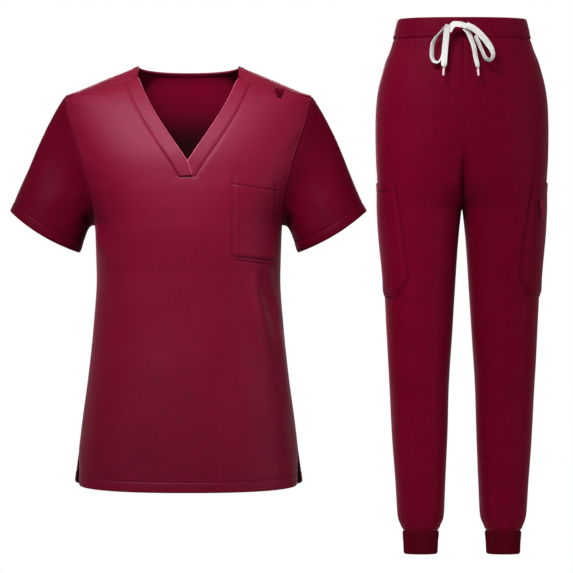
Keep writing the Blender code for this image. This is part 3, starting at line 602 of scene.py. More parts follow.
def across_at(angle, height):
    return torso_at(height)[..., 0] * signed_power(np.cos(angle), 2 / ROUNDNESS)


def ring(read, angle, height):
    """Points of a ring between an outer and an inner edge, and their outward directions."""
    outer, inner, front, back = np.moveaxis(read(height), -1, 0)
    middle, half = (outer + inner) / 2, (outer - inner) / 2
    across, along = np.cos(angle), np.sin(angle)
    depth = np.where(along < 0, front, back)
    x = middle + half * signed_power(across, 2 / ROUNDNESS)
    y = depth * signed_power(along, 2 / ROUNDNESS)
    out = unit(np.stack([
        signed_power(across, 2 - 2 / ROUNDNESS) / half,
        signed_power(along, 2 - 2 / ROUNDNESS) / depth,
        np.zeros_like(x),
    ], -1))
    return np.stack([x, y, np.broadcast_to(height, x.shape)], -1), out


def leg(angle, height):
    """A trouser leg with its creases, and the gathers above its cuff and below its waistband."""
    points, out = ring(leg_at, angle, height)
    x = points[..., 0]
    round_it = angle * 0.075
    front_fold = creased(x, height, LEG_FRONT_CREASES) + drift(x, height, 0.0008, 0.15, 12)
    back_fold = creased(x, height, LEG_BACK_CREASES) + drift(x, height, 0.0011, 0.13, 15)
    along = np.sin(angle)
    moved = np.where(along < 0, front_fold, back_fold) * eased_step(np.abs(along) / 0.3)
    ankle = eased_step((-0.742 - height) / 0.044) * eased_step((height - ANKLE_SEAM) / 0.006)
    moved = moved + ankle * 0.0011 * gathers(round_it, 0.015, 21)
    waist = eased_step((height + 0.035) / 0.070) ** 2
    moved = moved + waist * 0.0008 * gathers(round_it * 1.3, 0.019, 22)
    return points + out * moved[..., None], out


# ------------------------------------------------------------------ meshes


def deselect():
    for piece in bpy.context.selected_objects:
        piece.select_set(False)


def activate(piece):
    deselect()
    piece.select_set(True)
    bpy.context.view_layer.objects.active = piece


def laid_grid(points, flat):
    """A grid whose rows and columns lie on these points, with its UV map in metres of flat cloth."""
    rows, columns = points.shape[:2]
    deselect()
    bpy.ops.mesh.primitive_grid_add(x_subdivisions=columns - 1, y_subdivisions=rows - 1, size=1)
    piece = bpy.context.object
    mesh = piece.data
    if len(mesh.vertices) != rows * columns:
        raise RuntimeError("the grid has another count of points than its form")
    mesh.vertices.foreach_set("co", np.ascontiguousarray(points, np.float32).reshape(-1))
    corner = np.empty(len(mesh.loops), np.int32)
    mesh.loops.foreach_get("vertex_index", corner)
    uv = np.ascontiguousarray(flat.reshape(-1, 2)[corner], np.float32)
    mesh.uv_layers.active.data.foreach_set("uv", uv.reshape(-1))
    mesh.update()
    return piece


def facing_out(piece, points, outs):
    """Whether the mesh's faces point the way of the form's outward directions."""
    mesh = piece.data
    normals = np.empty(len(mesh.vertices) * 3, np.float32)
    mesh.vertices.foreach_get("normal", normals)
    places = np.empty(len(mesh.vertices) * 3, np.float32)
    mesh.vertices.foreach_get("co", places)
    normals, places = normals.reshape(-1, 3), places.reshape(-1, 3)
    tree = KDTree(len(points))
    for index, point in enumerate(points):
        tree.insert(point, index)
    tree.balance()
    some = range(0, len(places), max(len(places) // 400, 1))
    return sum(float(normals[k] @ outs[tree.find(places[k])[1]]) for k in some) > 0


def sewn(name, patches, wall, finish, replaces=(), closed=False):
    """One piece of cloth from grids of (points, outward directions, flat places) that share edges."""
    grids = [laid_grid(points, flat) for points, _, flat in patches]
    deselect()
    for grid in grids:
        grid.select_set(True)
    bpy.context.view_layer.objects.active = grids[0]
    if len(grids) > 1:
        bpy.ops.object.join()
    piece = bpy.context.object
    piece.name = piece.data.name = name + "_cloth"
    if len(grids) > 1 or closed:
        bpy.ops.object.mode_set(mode="EDIT")
        bpy.ops.mesh.select_all(action="SELECT")
        bpy.ops.mesh.remove_doubles(threshold=2e-5)
        bpy.ops.object.mode_set(mode="OBJECT")
    points = np.concatenate([patch[0].reshape(-1, 3)[::7] for patch in patches])
    outs = np.concatenate([patch[1].reshape(-1, 3)[::7] for patch in patches])
    if not facing_out(piece, points, outs):
        bpy.ops.object.mode_set(mode="EDIT")
        bpy.ops.mesh.select_all(action="SELECT")
        bpy.ops.mesh.flip_normals()
        bpy.ops.object.mode_set(mode="OBJECT")
    # The inner walls take the wrong-side material, whose colour holds painted shade and painted light.
    inside = finish if finish == "burgundy_rib" else "burgundy_inside_painted_shade"
    for face in (finish, inside):
        piece.data.materials.append(look(face))
    thicken = piece.modifiers.new("Wall", "SOLIDIFY")
    thicken.thickness = wall
    thicken.offset = -1
    thicken.use_rim = True
    thicken.material_offset = 1
    bpy.ops.object.modifier_apply(modifier=thicken.name)
    return finished(piece, finish, replaces)


def finished(piece, finish, replaces=(), angle=42):
    activate(piece)
    bpy.ops.object.shade_smooth_by_angle(angle=math.radians(angle))
    if not piece.data.materials:
        piece.data.materials.append(look(finish))
    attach(piece, "root")
    if replaces:
        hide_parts(*replaces)
    return piece


def mirrored(patch):
    """The same patch on the other side of the middle, its faces still outward."""
    points, outs, flat = patch
    flip = np.array((-1.0, 1.0, 1.0))
    return points[:, ::-1] * flip, outs[:, ::-1] * flip, flat[:, ::-1] * np.array((-1.0, 1.0))


def beside(patch, x):
    return patch[0] + np.array((x, 0.0, 0.0)), patch[1], patch[2]


def turned_in(patch, amounts):
    """The patch moved along its outward directions by these amounts."""
    points, outs, flat = patch
    return points + outs * amounts[..., None], outs, flat


def stitch_shape():
    """One stitch a metre long and wide, as a few points and faces."""
    deselect()
    bpy.ops.mesh.primitive_uv_sphere_add(segments=6, ring_count=4, radius=0.5)
    ball = bpy.context.object
    points = np.array([vertex.co for vertex in ball.data.vertices])
    faces = [tuple(polygon.vertices) for polygon in ball.data.polygons]
    bpy.data.objects.remove(ball)
    return points[:, [2, 0, 1]], faces


def stitches(name, targets, lines, finish, length=None, pitch=None, thick=0.0006, sink=0.0001):
    """Rows of stitches along lines, laid on the surfaces of the target pieces."""
    sizes = bpy.context.scene.scrubs_sizes
    length, pitch = length or sizes.stitch, pitch or sizes.stitch_pitch
    trees = [BVHTree.FromObject(target, bpy.context.evaluated_depsgraph_get()) for target in targets]
    template, faces = stitch_shape()
    points, sides = [], []
    for line in lines:
        long = np.linalg.norm(np.diff(line, axis=0), axis=1).sum()
        count = max(int(round(long / pitch)), 1)
        marks = resample(line, 2 * count)
        for k in range(count):
            centre = marks[2 * k + 1]
            along = unit(marks[2 * k + 2] - marks[2 * k])
            hits = [tree.find_nearest(Vector(centre)) for tree in trees]
            place, normal, _, _ = min(hits, key=lambda hit: hit[3])
            normal = np.array(normal)
            aside = unit(np.cross(normal, along))
            along = np.cross(aside, normal)
            middle = np.array(place) + normal * (thick / 2 - sink)
            shaped = template * np.array((length, thick * 1.15, thick))
            start = len(points) * len(template)
            points.append(middle + shaped[:, :1] * along + shaped[:, 1:2] * aside + shaped[:, 2:] * normal)
            sides += [tuple(start + v for v in face) for face in faces]
    mesh = bpy.data.meshes.new(name)
    mesh.from_pydata(np.concatenate(points).tolist(), [], sides)
    mesh.update()
    piece = bpy.data.objects.new(name, mesh)
    bpy.context.scene.collection.objects.link(piece)
    return finished(piece, finish, angle=80)


def painted_highlight_rolls(name, lines, radius=0.0005):
    """Thin round beads along folded edges, one on each line, in a lighter colour that is a painted highlight
    where the folds catch light.
    """
    turns = np.linspace(0, 2 * math.pi, 9)[:, None]
    beads = []
    for line in lines:
        line = resample(line, int(np.linalg.norm(np.diff(line, axis=0), axis=1).sum() / 0.003))
        along = unit(np.gradient(line, axis=0))
        side = unit(np.cross(along, (0.0, 1.0, 0.0)))
        front = np.cross(along, side)
        outs = np.cos(turns) * side[:, None] + np.sin(turns) * front[:, None]
        points = line[:, None] + outs * radius
        points[0], points[-1] = line[0], line[-1]
        flat = np.stack([points[..., 0], points[..., 2]], -1)
        beads.append(laid_grid(points, flat))
    deselect()
    for bead in beads:
        bead.select_set(True)
    bpy.context.view_layer.objects.active = beads[0]
    if len(beads) > 1:
        bpy.ops.object.join()
    piece = bpy.context.object
    piece.name = piece.data.name = name
    bpy.ops.object.mode_set(mode="EDIT")
    bpy.ops.mesh.select_all(action="SELECT")
    bpy.ops.mesh.remove_doubles(threshold=1e-5)
    bpy.ops.mesh.normals_make_consistent(inside=False)
    bpy.ops.object.mode_set(mode="OBJECT")
    return finished(piece, "burgundy_painted_highlight", angle=80)


# ------------------------------------------------------------------ materials


class Value:
    """A number inside a material, which takes sums and products as Python does."""

    def __init__(self, nodes, socket):
        self.nodes, self.socket = nodes, socket

    def maths(self, operation, *others):
        return self.nodes.add("ShaderNodeMath", {"operation": operation}, dict(enumerate((self, *others))))

    def __add__(self, other):
        return self.maths("ADD", other)

    def __sub__(self, other):
        return self.maths("SUBTRACT", other)

    def __mul__(self, other):
        return self.maths("MULTIPLY", other)

    __radd__ = __add__
    __rmul__ = __mul__


class Nodes:
    """A new material's node tree, filled by one method."""

    def __init__(self, name):
        self.material = bpy.data.materials.new(name)
        self.material.use_nodes = True
        self.tree = self.material.node_tree
        self.shader = self.tree.nodes["Principled BSDF"]

    def add(self, kind, settings=None, values=None, out=0):
        node = self.tree.nodes.new(kind)
        for key, value in (settings or {}).items():
            setattr(node, key, value)
        self.fill(node, values or {})
        return Value(self, node.outputs[out])

    def fill(self, node, values):
        for key, value in values.items():
            if isinstance(value, Value):
                self.tree.links.new(value.socket, node.inputs[key])
            else:
                node.inputs[key].default_value = value

    def noise(self, scale, detail=3.0, where=None):
        values = {"Scale": scale, "Detail": detail, "Vector": where or self.place()}
        return self.add("ShaderNodeTexNoise", {}, values)

    def slubs(self, stretch):
        """Long thin thick-and-thin yarns, drawn out along one direction of the cloth."""
        uv = self.add("ShaderNodeUVMap", {"uv_map": "UVMap"})
        drawn = self.add("ShaderNodeVectorMath", {"operation": "MULTIPLY"}, {0: uv, 1: stretch})
        return self.noise(1.0, 3.0, drawn)

    def place(self):
        return self.add("ShaderNodeTexCoord", {}, {}, "Object")

    def flat(self):
        """The two flat directions of the cloth, in metres."""
        uv = self.add("ShaderNodeUVMap", {"uv_map": "UVMap"})
        split = self.add("ShaderNodeSeparateXYZ", {}, {"Vector": uv})
        return split, Value(self, split.socket.node.outputs["Y"])

    def blend(self, factor, first, second):
        colours = {0: factor, 6: (*first, 1.0), 7: (*second, 1.0)}
        return self.add("ShaderNodeMix", {"data_type": "RGBA"}, colours, 2)

    def bump(self, height, strength, distance):
        return self.add("ShaderNodeBump", {}, {"Height": height, "Strength": strength, "Distance": distance})


def shade(colour, by):
    return tuple(min(channel * by, 1.0) for channel in colour)


def woven(name, colour, fleck=0.30, sheen=0.16, gloss=0.085):
    """Smooth twill: fine slanting ribs, a soft fleck and a pale sheen."""
    nodes = Nodes(name)
    across, up = nodes.flat()
    twill_step, weft_step = 0.00085, 0.0006
    twill = ((across + up * 0.8) * (2 * math.pi / twill_step)).maths("SINE")
    weft = (up * (2 * math.pi / weft_step)).maths("SINE")
    fibre = nodes.noise(2600.0, 2.0)
    cloudy = nodes.noise(14.0, 4.0)
    warp_slubs, weft_slubs = nodes.slubs((520.0, 40.0, 1.0)), nodes.slubs((40.0, 520.0, 1.0))
    height = twill * 0.5 + weft * 0.2 + fibre * 0.9 + warp_slubs * 1.6 + weft_slubs * 1.6
    tone = cloudy * 0.3 + warp_slubs * 0.9 + weft_slubs * 0.7 + fibre * 0.15 + twill * 0.04 - 0.52
    nodes.fill(nodes.shader, {
        "Base Color": nodes.blend(tone, shade(colour, 1 - fleck), shade(colour, 1 + fleck)),
        "Roughness": cloudy * 0.10 + 0.46,
        "Normal": nodes.bump(height, 0.16, 0.00025),
        "Specular IOR Level": gloss,
        "Specular Tint": (1.0, 0.75, 1.0, 1.0),
        "Sheen Weight": sheen,
        "Sheen Roughness": 0.30,
        "Sheen Tint": (1.0, 0.16, 0.34, 1.0),
    })
    return nodes.material


def painted_shade_inside(name, colour):
    """The cloth's dull wrong side, with painted shade: near black low down the inside, rising by height to a
    painted light brighter than the cloth at the neckline.
    """
    nodes = Nodes(name)
    across, up = nodes.flat()
    fibre = nodes.noise(2600.0, 2.0)
    twill = ((across - up * 0.8) * (2 * math.pi / 0.00085)).maths("SINE")
    split = nodes.add("ShaderNodeSeparateXYZ", {}, {"Vector": nodes.place()}, "Z")
    # Painted shade and light by height: the inside is near black low down and brighter than the cloth near
    # the neckline.
    facing = nodes.add("ShaderNodeMapRange", {"interpolation_type": "SMOOTHSTEP"}, {
        "Value": split, "From Min": -0.135, "From Max": -0.020, "To Min": 0.0, "To Max": 1.0,
    })
    nodes.fill(nodes.shader, {
        "Base Color": nodes.blend(facing + fibre * 0.02, shade(colour, 0.08), shade(colour, 1.6)),
        "Roughness": fibre * 0.1 + 0.75,
        "Normal": nodes.bump(twill * 0.4 + fibre, 0.16, 0.00025),
        "Specular IOR Level": 0.04,
    })
    return nodes.material


def ribbed(name, colour):
    """Ribbed knit: small V stitches stacked along each rib."""
    nodes = Nodes(name)
    across, up = nodes.flat()
    rib_step, stitch_step = 0.0021, 0.0016
    rib = (across * (2 * math.pi / rib_step)).maths("COSINE")
    lean = (across * (2 * math.pi / rib_step)).maths("SINE").maths("ABSOLUTE")
    loops = ((up + lean * 0.0006) * (2 * math.pi / stitch_step)).maths("SINE")
    fibre = nodes.noise(2200.0, 2.0)
    height = rib * 0.5 + loops * 0.35 + fibre * 0.5
    tone = (rib * 0.25 + loops * 0.12 + fibre * 0.4).maths("ADD", 0.3)
    nodes.fill(nodes.shader, {
        "Base Color": nodes.blend(tone, shade(colour, 0.72), shade(colour, 1.15)),
        "Roughness": fibre * 0.1 + 0.72,
        "Normal": nodes.bump(height, 0.35, 0.0004),
        "Specular IOR Level": 0.03,
        "Sheen Weight": 0.01,
        "Sheen Roughness": 0.4,
        "Sheen Tint": (1.0, 0.35, 0.50, 1.0),
    })
    return nodes.material


def threaded(name, colour):
    """Sewing thread: a little glossier than the cloth."""
    nodes = Nodes(name)
    fibre = nodes.noise(3000.0, 2.0)
    nodes.fill(nodes.shader, {
        "Base Color": nodes.blend(fibre, shade(colour, 0.8), shade(colour, 1.15)),
        "Roughness": fibre * 0.1 + 0.45,
        "Normal": nodes.bump(fibre, 0.3, 0.0002),
        "Specular IOR Level": 0.10,
    })
    return nodes.material


def braided(name, colour):
    """Flat white braid: yarns that lean to the middle from both edges, grey between them."""
    nodes = Nodes(name)
    across, along = nodes.flat()
    lean = across.maths("ABSOLUTE") * 1.1
    yarn = ((along + lean) * (2 * math.pi / 0.0022)).maths("SINE")
    strand = (across * (2 * math.pi / 0.0013)).maths("COSINE")
    fibre = nodes.noise(3200.0, 2.0)
    grime = nodes.noise(120.0, 3.0)
    height = yarn * 0.5 + strand * 0.3 + fibre * 0.5
    tone = (yarn * 0.16 + strand * 0.08 + grime * 0.5 + fibre * 0.2).maths("ADD", 0.22)
    nodes.fill(nodes.shader, {
        "Base Color": nodes.blend(tone, shade(colour, 0.70), shade(colour, 1.08)),
        "Roughness": fibre * 0.1 + 0.65,
        "Normal": nodes.bump(height, 0.4, 0.0004),
        "Specular IOR Level": 0.25,
        "Sheen Weight": 0.2,
    })
    return nodes.material


def plastic(name, colour):
    """A clear tip over the cord, tinted by the cloth behind it."""
    nodes = Nodes(name)
    haze = nodes.noise(300.0, 2.0)
    nodes.fill(nodes.shader, {
        "Base Color": nodes.blend(haze, shade(colour, 0.9), shade(colour, 1.1)),
        "Roughness": haze * 0.1 + 0.22,
        "Normal": nodes.bump(haze, 0.1, 0.0003),
        "Coat Weight": 0.5,
        "Coat Roughness": 0.12,
    })
    return nodes.material


def pale_floor(name, colour, edge):
    """A pale floor that fades out at its edge."""
    nodes = Nodes(name)
    grain = nodes.noise(30.0, 2.0)
    reach = nodes.add("ShaderNodeVectorMath", {"operation": "LENGTH"}, {0: nodes.place()}, "Value")
    fade = nodes.add("ShaderNodeMapRange", {"interpolation_type": "SMOOTHSTEP"}, {
        "Value": reach, "From Min": 0.35 * edge, "From Max": 0.97 * edge, "To Min": 1.0, "To Max": 0.0,
    })
    nodes.fill(nodes.shader, {
        "Base Color": nodes.blend(grain, shade(colour, 0.99), shade(colour, 1.01)),
        "Roughness": grain * 0.05 + 0.8,
        "Alpha": fade,
        "Specular IOR Level": 0.1,
    })
    return nodes.material


def look(name):
    """The material of this name, made when it is first asked for."""
    found = bpy.data.materials.get(name)
    if found:
        return found
    finish = bpy.context.scene.scrubs_finish
    makers = {
        "burgundy_twill": lambda: woven(name, finish.cloth, sheen=0.09, gloss=0.105),
        # Painted shade: the sleeves take a darker copy of the cloth, with less gloss.
        "burgundy_sleeve_painted_shade": lambda: woven(name, shade(finish.cloth, 0.62), gloss=0.02),
        # Painted light: the trousers, waistband and cargo pockets take a brighter copy of the cloth, with
        # less gloss.
        "burgundy_trouser_painted_light": lambda: woven(name, shade(finish.cloth, 1.20), gloss=0.03),
        # Painted highlight: a much lighter colour for the beads along folded edges.
        "burgundy_painted_highlight": lambda: woven(name, (0.42, 0.085, 0.14), gloss=0.2),
        "burgundy_inside_painted_shade": lambda: painted_shade_inside(name, finish.cloth),
        "burgundy_rib": lambda: ribbed(name, finish.rib),
        # The thread colour is far darker than the cloth: real thread with painted shade of the stitched
        # grooves.
        "burgundy_thread_seam_shade": lambda: threaded(name, shade(finish.cloth, 0.30)),
        # Painted light: the utility loop takes a copy of the cloth more than twice as bright, to look lit.
        "burgundy_utility_loop_painted_light": lambda: woven(name, shade(finish.cloth, 2.2), gloss=0.10),
        # Painted shade: the badge loop takes a darker copy of the cloth, for the shade inside the loop.
        "burgundy_badge_loop_painted_shade": lambda: woven(name, shade(finish.cloth, 0.40), gloss=0.02),
        "white_braid": lambda: braided(name, finish.cord),
        "tip_plastic": lambda: plastic(name, finish.aglet),
    }
    return makers[name]()


# ------------------------------------------------------------------ the top


def body_columns():
    """Shares from the middle of a body panel to its side seam."""
    return shares(0.25, (0.0,), AT_SEAM)[:, 0]


def lower_body(face, hem):
    """The torso below the underarm, its front (-1) or its back (+1), with rows set for a stitched hem."""
    u = body_columns()
    u = np.concatenate([-u[:0:-1], u])
    angle = face * QUARTER * (1 - u) if face < 0 else QUARTER * (1 - u)
    sag = np.cos(u * QUARTER) ** 0.6
    low = HEM_CORNER_HEIGHT + (HEM_HEIGHT - HEM_CORNER_HEIGHT) * sag
    v = shares(UNDERARM - low, with_groove(AT_SEAM, hem), (0.0,))
    height = low + (UNDERARM - low) * v
    angle = np.broadcast_to(angle, height.shape)
    points, outs = torso(angle, height)
    flat = np.stack([angle * 0.165, height], -1)
    return spread_vents(points, face), outs, flat


def spread_vents(points, face):
    """Opens the side vents: the front's hem corners turn in and the back's stand out."""
    x, y, z = np.moveaxis(points, -1, 0)
    share = np.clip((VENT_TOP - z) / (VENT_TOP - HEM_CORNER_HEIGHT), 0.0, 1.0)
    close = hump(y, 0.045) * share
    outward, apart = (-0.0070, -0.009) if face < 0 else (0.0022, 0.003)
    moved = points.copy()
    moved[..., 0] += np.sign(x) * outward * close
    moved[..., 1] += apart * close
    return moved


def stepped(parts):
    """One edge from several lines, each given with its count of steps and its form."""
    joined = [resample(line, count, form)[:-1] for line, count, form in parts[:-1]]
    line, count, form = parts[-1]
    return np.concatenate([*joined, resample(line, count, form)])


def level_line():
    turns = QUARTER * (1 - np.linspace(0, 1, 241))
    return np.column_stack([across_at(turns, UNDERARM), np.full(241, UNDERARM)])


def half_places(edges, breaks, counts):
    """Places of half a body panel above the underarm, from its middle out to the arm."""
    ends = 1.0 - np.array(AT_SEAM[1:5]) / 0.24
    steps = [np.linspace(a, b, n + 1) for a, b, n in zip(breaks, breaks[1:], counts)]
    v = np.unique(np.round(np.concatenate([*steps, ends]), 6))
    u, v = np.meshgrid(body_columns(), v)
    return filled(*edges, u, v)


def band_outer_line():
    """The seam between the front and its neckband, from the V up to the shoulder."""
    return np.concatenate([[(V_END_HALF, V_END_HEIGHT)], eased(BAND_OUTER)[::-1]])


def front_places():
    """Half the front above the underarm, from the middle out to the arm: across and height."""
    inside = stepped([
        (((0.0, UNDERARM), (0.0, V_END_HEIGHT)), 60, None),
        (((0.0, V_END_HEIGHT), (V_END_HALF, V_END_HEIGHT)), 40, None),
        (band_outer_line(), 140, front_spot),
    ])
    arm = resample(eased(FRONT_ARMHOLE), 240, front_spot)
    top = resample(eased(SHOULDER_SEAM)[::-1], 240, front_spot)
    return half_places((level_line(), top, inside, arm), (0, 3 / 12, 5 / 12, 1), (20, 8, 44))


def neck_line():
    """The back neckline from the middle of the back over the neck point: across and rise."""
    turn = QUARTER * (1 - np.linspace(0, 1, 40))
    height = BACK_NECK_HEIGHT * np.sin(turn) ** 1.5
    share = np.linspace(0, 1, 9)[1:]
    front = np.column_stack([NECK_HALF + 0.001 * share, BAND_TOP[1][1] * share])
    return np.concatenate([np.column_stack([across_at(turn, height), height]), turned_up(front)])


def place_of(point):
    """The place on the torso, as across and rise, that lies nearest a point beside it."""
    half_width, front, back = torso_at(point[2])
    sideways = signed_power(point[0] / half_width, ROUNDNESS / 2)
    lengthways = signed_power(point[1] / (front if point[1] < 0 else back), ROUNDNESS / 2)
    across = across_at(math.atan2(lengthways, sideways), point[2])
    return across, point[2] if point[1] >= 0 else 2 * ridge_height(across) - point[2]


def below_neck_line():
    """The line one binding's width out from the back neckline: across and rise."""
    neck = neck_line()
    points, outs = back_spot(neck[:, 0], neck[:, 1])
    along = unit(points[2:] - points[:-2])
    aside = unit(np.cross(outs[1:-1], along))
    line = [(0.0, BACK_NECK_HEIGHT - 0.9 * BINDING)]
    line += [place_of(point) for point in points[1:-1] + BINDING * aside]
    return np.concatenate([line, turned_up([BINDING_END])])


def back_arm_line():
    """The back's share of the armhole: up from the underarm and over the tip to the forward seam."""
    tip = (SHOULDER_TIP_ACROSS, float(ridge_height(SHOULDER_TIP_ACROSS)))
    return eased(np.concatenate([BACK_ARMHOLE, [tip], turned_up(SHOULDER_SEAM[:1])]))


def back_places():
    """Half the back above the underarm, its shoulder wrapped forward to the front's seam."""
    neck = resample(below_neck_line(), 160, back_spot)
    seam = resample(eased(SHOULDER_SEAM)[::-1], 210, front_spot)
    end = np.concatenate([neck[-1:], turned_up(seam[:1])])
    top = np.concatenate([resample(end, 30)[:-1], turned_up(seam)])
    middle = resample([(0.0, UNDERARM), neck[0]], 80)
    inside = np.concatenate([middle[:-1], neck])
    arm = resample(back_arm_line(), 240, back_spot)
    return half_places((level_line(), top, inside, arm), (0, 4 / 12, 1), (36, 50))


def half_body(places, side, face, lower):
    """One half of a body panel above the underarm, on the wearer's left (+1) or right (-1)."""
    places = places[:, ::side] * (side, 1.0)
    points, outs = (front_spot if face < 0 else back_spot)(places[..., 0], places[..., 1])
    middle = len(body_columns()) - 1
    points[0] = lower[0][-1][middle:] if side > 0 else lower[0][-1][: middle + 1]
    return points, outs, places


def hemmed(patch, edge, stitch_line, depth):
    """Sinks a stitched line into the cloth, and fills the hem beside it out a little."""
    inside = far_from(patch[0], edge)
    moved = -0.0006 * hump(far_from(patch[0], stitch_line), 0.0012)
    folded = (inside < depth) * eased_step(inside / 0.003) * eased_step((depth - inside) / 0.003)
    moved = moved + 0.0004 * folded
    return turned_in(patch, moved - 0.0005 * hump(inside, 0.0009))


def body_panel(name, face, places):
    sizes = bpy.context.scene.scrubs_sizes
    lower = lower_body(face, sizes.top_hem)
    halves = [half_body(places, side, face, lower) for side in (1, -1)]
    hem_row = lower[0][len(with_groove(AT_SEAM, sizes.top_hem)) - 4]
    seams = [lower[0][:, 0], lower[0][:, -1]]
    for points, _, _ in halves:
        inner, arm = sorted((points[:, 0], points[:, -1]), key=lambda edge: abs(edge[0, 0]))
        seams += [arm, points[-1], inner[np.abs(inner[:, 0]) > 1e-5]]
    lower = hemmed(lower, lower[0][0], hem_row, sizes.top_hem)
    arms = [points[:, -1] if points[0, -1, 0] > 0.1 else points[:, 0] for points, _, _ in halves]
    patches = []
    for patch in (lower, *halves):
        ridge = 0.0007 * hump(far_from(patch[0], *arms) - 0.0036, 0.0018)
        patches.append(turned_in(patch, ridge - sizes.seam * hump(far_from(patch[0], *seams), 0.0024)))
    panel = sewn(name, patches, sizes.cloth, "burgundy_twill", [name])
    hem_row = hem_row[3:-3]
    stitches(name + "_hem_stitches", [panel], [hem_row], "burgundy_thread_seam_shade")
    if face < 0:
        vents = [edge[edge[:, 2] < VENT_TOP - 0.004] for edge in (patches[0][0][:, 0], patches[0][0][:, -1])]
        painted_highlight_rolls("vent_edges", vents)
    return panel, halves


class SCRUBS_OT_body(bpy.types.Operator):
    """Builds the front and back panels of the top"""

    bl_idname = "scrubs.body"
    bl_label = "Top Front and Back"

    def execute(self, context):
        front, halves = body_panel("top_front", -1, front_places())
        back, _ = body_panel("top_back", 1, back_places())
        seams = [points[-1] - unit(points[-1] - points[-3]) * 0.0015 for points, _, _ in halves]
        lines = [seam + (0.0, 0.0, 0.003) for seam in seams]
        stitches("shoulder_stitches", [back], lines, "burgundy_thread_seam_shade")
        return {"FINISHED"}


def armhole_ring(side, count=56):
    """Points and outward directions round an armhole, from the shoulder by the front, as if on the left."""
    front = resample(eased(FRONT_ARMHOLE), count, front_spot)[::-1]
    back = resample(back_arm_line(), count, back_spot)[1:-1]
    spots = [front_spot(side * front[:, 0], front[:, 1]), back_spot(side * back[:, 0], back[:, 1])]
    flip = np.array((side, 1.0, 1.0))
    return [np.concatenate([spot[k] for spot in spots]) * flip for k in (0, 1)]


def sleeve_patch(side, hem):
    """A sleeve, as if on the wearer's left: rows run from the armhole to the hem."""
    ring_points, seam_outs = armhole_ring(side)
    lengths = np.linalg.norm(np.diff(np.concatenate([ring_points, ring_points[:1]]), axis=0), axis=1)
    turns = (np.concatenate([[0.0], np.cumsum(lengths)])[:-1] - ring_points[0, 1]) / lengths.sum()
    outer = np.array((SLEEVE_HEM_OUTER[0], 0.0, SLEEVE_HEM_OUTER[1]))
    inner = np.array((SLEEVE_HEM_INNER[0], 0.0, SLEEVE_HEM_INNER[1]))
    middle, long_half = (outer + inner) / 2, (outer - inner) / 2
    axis = unit(np.cross((0.0, 1.0, 0.0), long_half))
    axis = axis if axis[2] < 0 else -axis
    phi = 2 * math.pi * turns
    dip = SLEEVE_HEM_DIP * np.sin(phi) ** 2 * np.where(phi < math.pi, 1.0, 0.5)
    end = middle + np.cos(phi)[:, None] * long_half + dip[:, None] * axis
    end[:, 1] -= SLEEVE_HEM_DEPTH * np.sin(phi)
    reach = np.linalg.norm(end - ring_points, axis=1)
    along = unit(np.roll(ring_points, -1, axis=0) - np.roll(ring_points, 1, axis=0))
    leaving = unit(np.cross(seam_outs, along))
    leaving = np.where(leaving[:, :1] > 0, leaving, -leaving)
    for _ in range(30):
        leaving = unit(leaving + 0.5 * (np.roll(leaving, 1, axis=0) + np.roll(leaving, -1, axis=0)))
    straight = unit(end - ring_points)
    begin = unit(0.55 * leaving + 0.45 * straight) * reach[:, None]
    finish = unit(0.4 * axis + 0.6 * straight) * reach[:, None]
    t = shares(reach, AT_SEAM, with_groove(AT_SEAM, hem), 0.0040)[..., None]
    points = (1 + 2 * t) * (1 - t) ** 2 * ring_points + t * (1 - t) ** 2 * begin
    points = points + t * t * (3 - 2 * t) * end - t * t * (1 - t) * finish
    around = np.roll(points, -1, axis=1) - np.roll(points, 1, axis=1)
    outs = unit(np.cross(np.gradient(points, axis=0), around))
    if float(outs[5, 0] @ (points[5, 0] - points[5].mean(0))) < 0:
        outs = -outs
    outs[0] = seam_outs
    turn = np.broadcast_to(turns, t.shape[:2]) * 0.48
    far = t[..., 0] * 0.17
    scale = np.array((0.48, 0.17, 0.48, 0.17, 0.48, 1.0, 0.48))
    table = [tuple(np.array(row) * scale) for row in SLEEVE_CREASES]
    slack = drift(points[..., 1] - points[..., 0], points[..., 2], 0.0009, 0.11, 31 + side)
    moved = creased(turn, far, table) + slack
    moved = moved * eased_step(t[..., 0] / 0.08) * eased_step((1 - t[..., 0]) / 0.10 + 0.35)
    points = points + outs * moved[..., None]
    flat = np.stack([turn, far], -1)
    closed = [np.concatenate([grid, grid[:, :1]], axis=1) for grid in (points, outs, flat)]
    closed[2][:, -1, 0] = 0.48
    return tuple(closed)


class SCRUBS_OT_sleeves(bpy.types.Operator):
    """Builds the two sleeves with their stitched hems"""

    bl_idname = "scrubs.sleeves"
    bl_label = "Sleeves"

    def execute(self, context):
        sizes = context.scene.scrubs_sizes
        for side, name in ((1, "sleeve_left"), (-1, "sleeve_right")):
            patch = sleeve_patch(side, sizes.sleeve_hem)
            hem_row = patch[0][len(patch[0]) - len(with_groove(AT_SEAM, sizes.sleeve_hem)) + 3]
            start, edge = patch[0][0], patch[0][-1]
            patch = hemmed(patch, edge, hem_row, sizes.sleeve_hem)
            patch = turned_in(patch, -sizes.seam * hump(far_from(patch[0], start), 0.0024))
            if side < 0:
                patch = mirrored(patch)
                hem_row = hem_row * (-1.0, 1.0, 1.0)
            sleeve = sewn(name, [patch], sizes.cloth, "burgundy_sleeve_painted_shade", [name], closed=True)
            stitches(name + "_hem_stitches", [sleeve], [hem_row], "burgundy_thread_seam_shade")
        return {"FINISHED"}


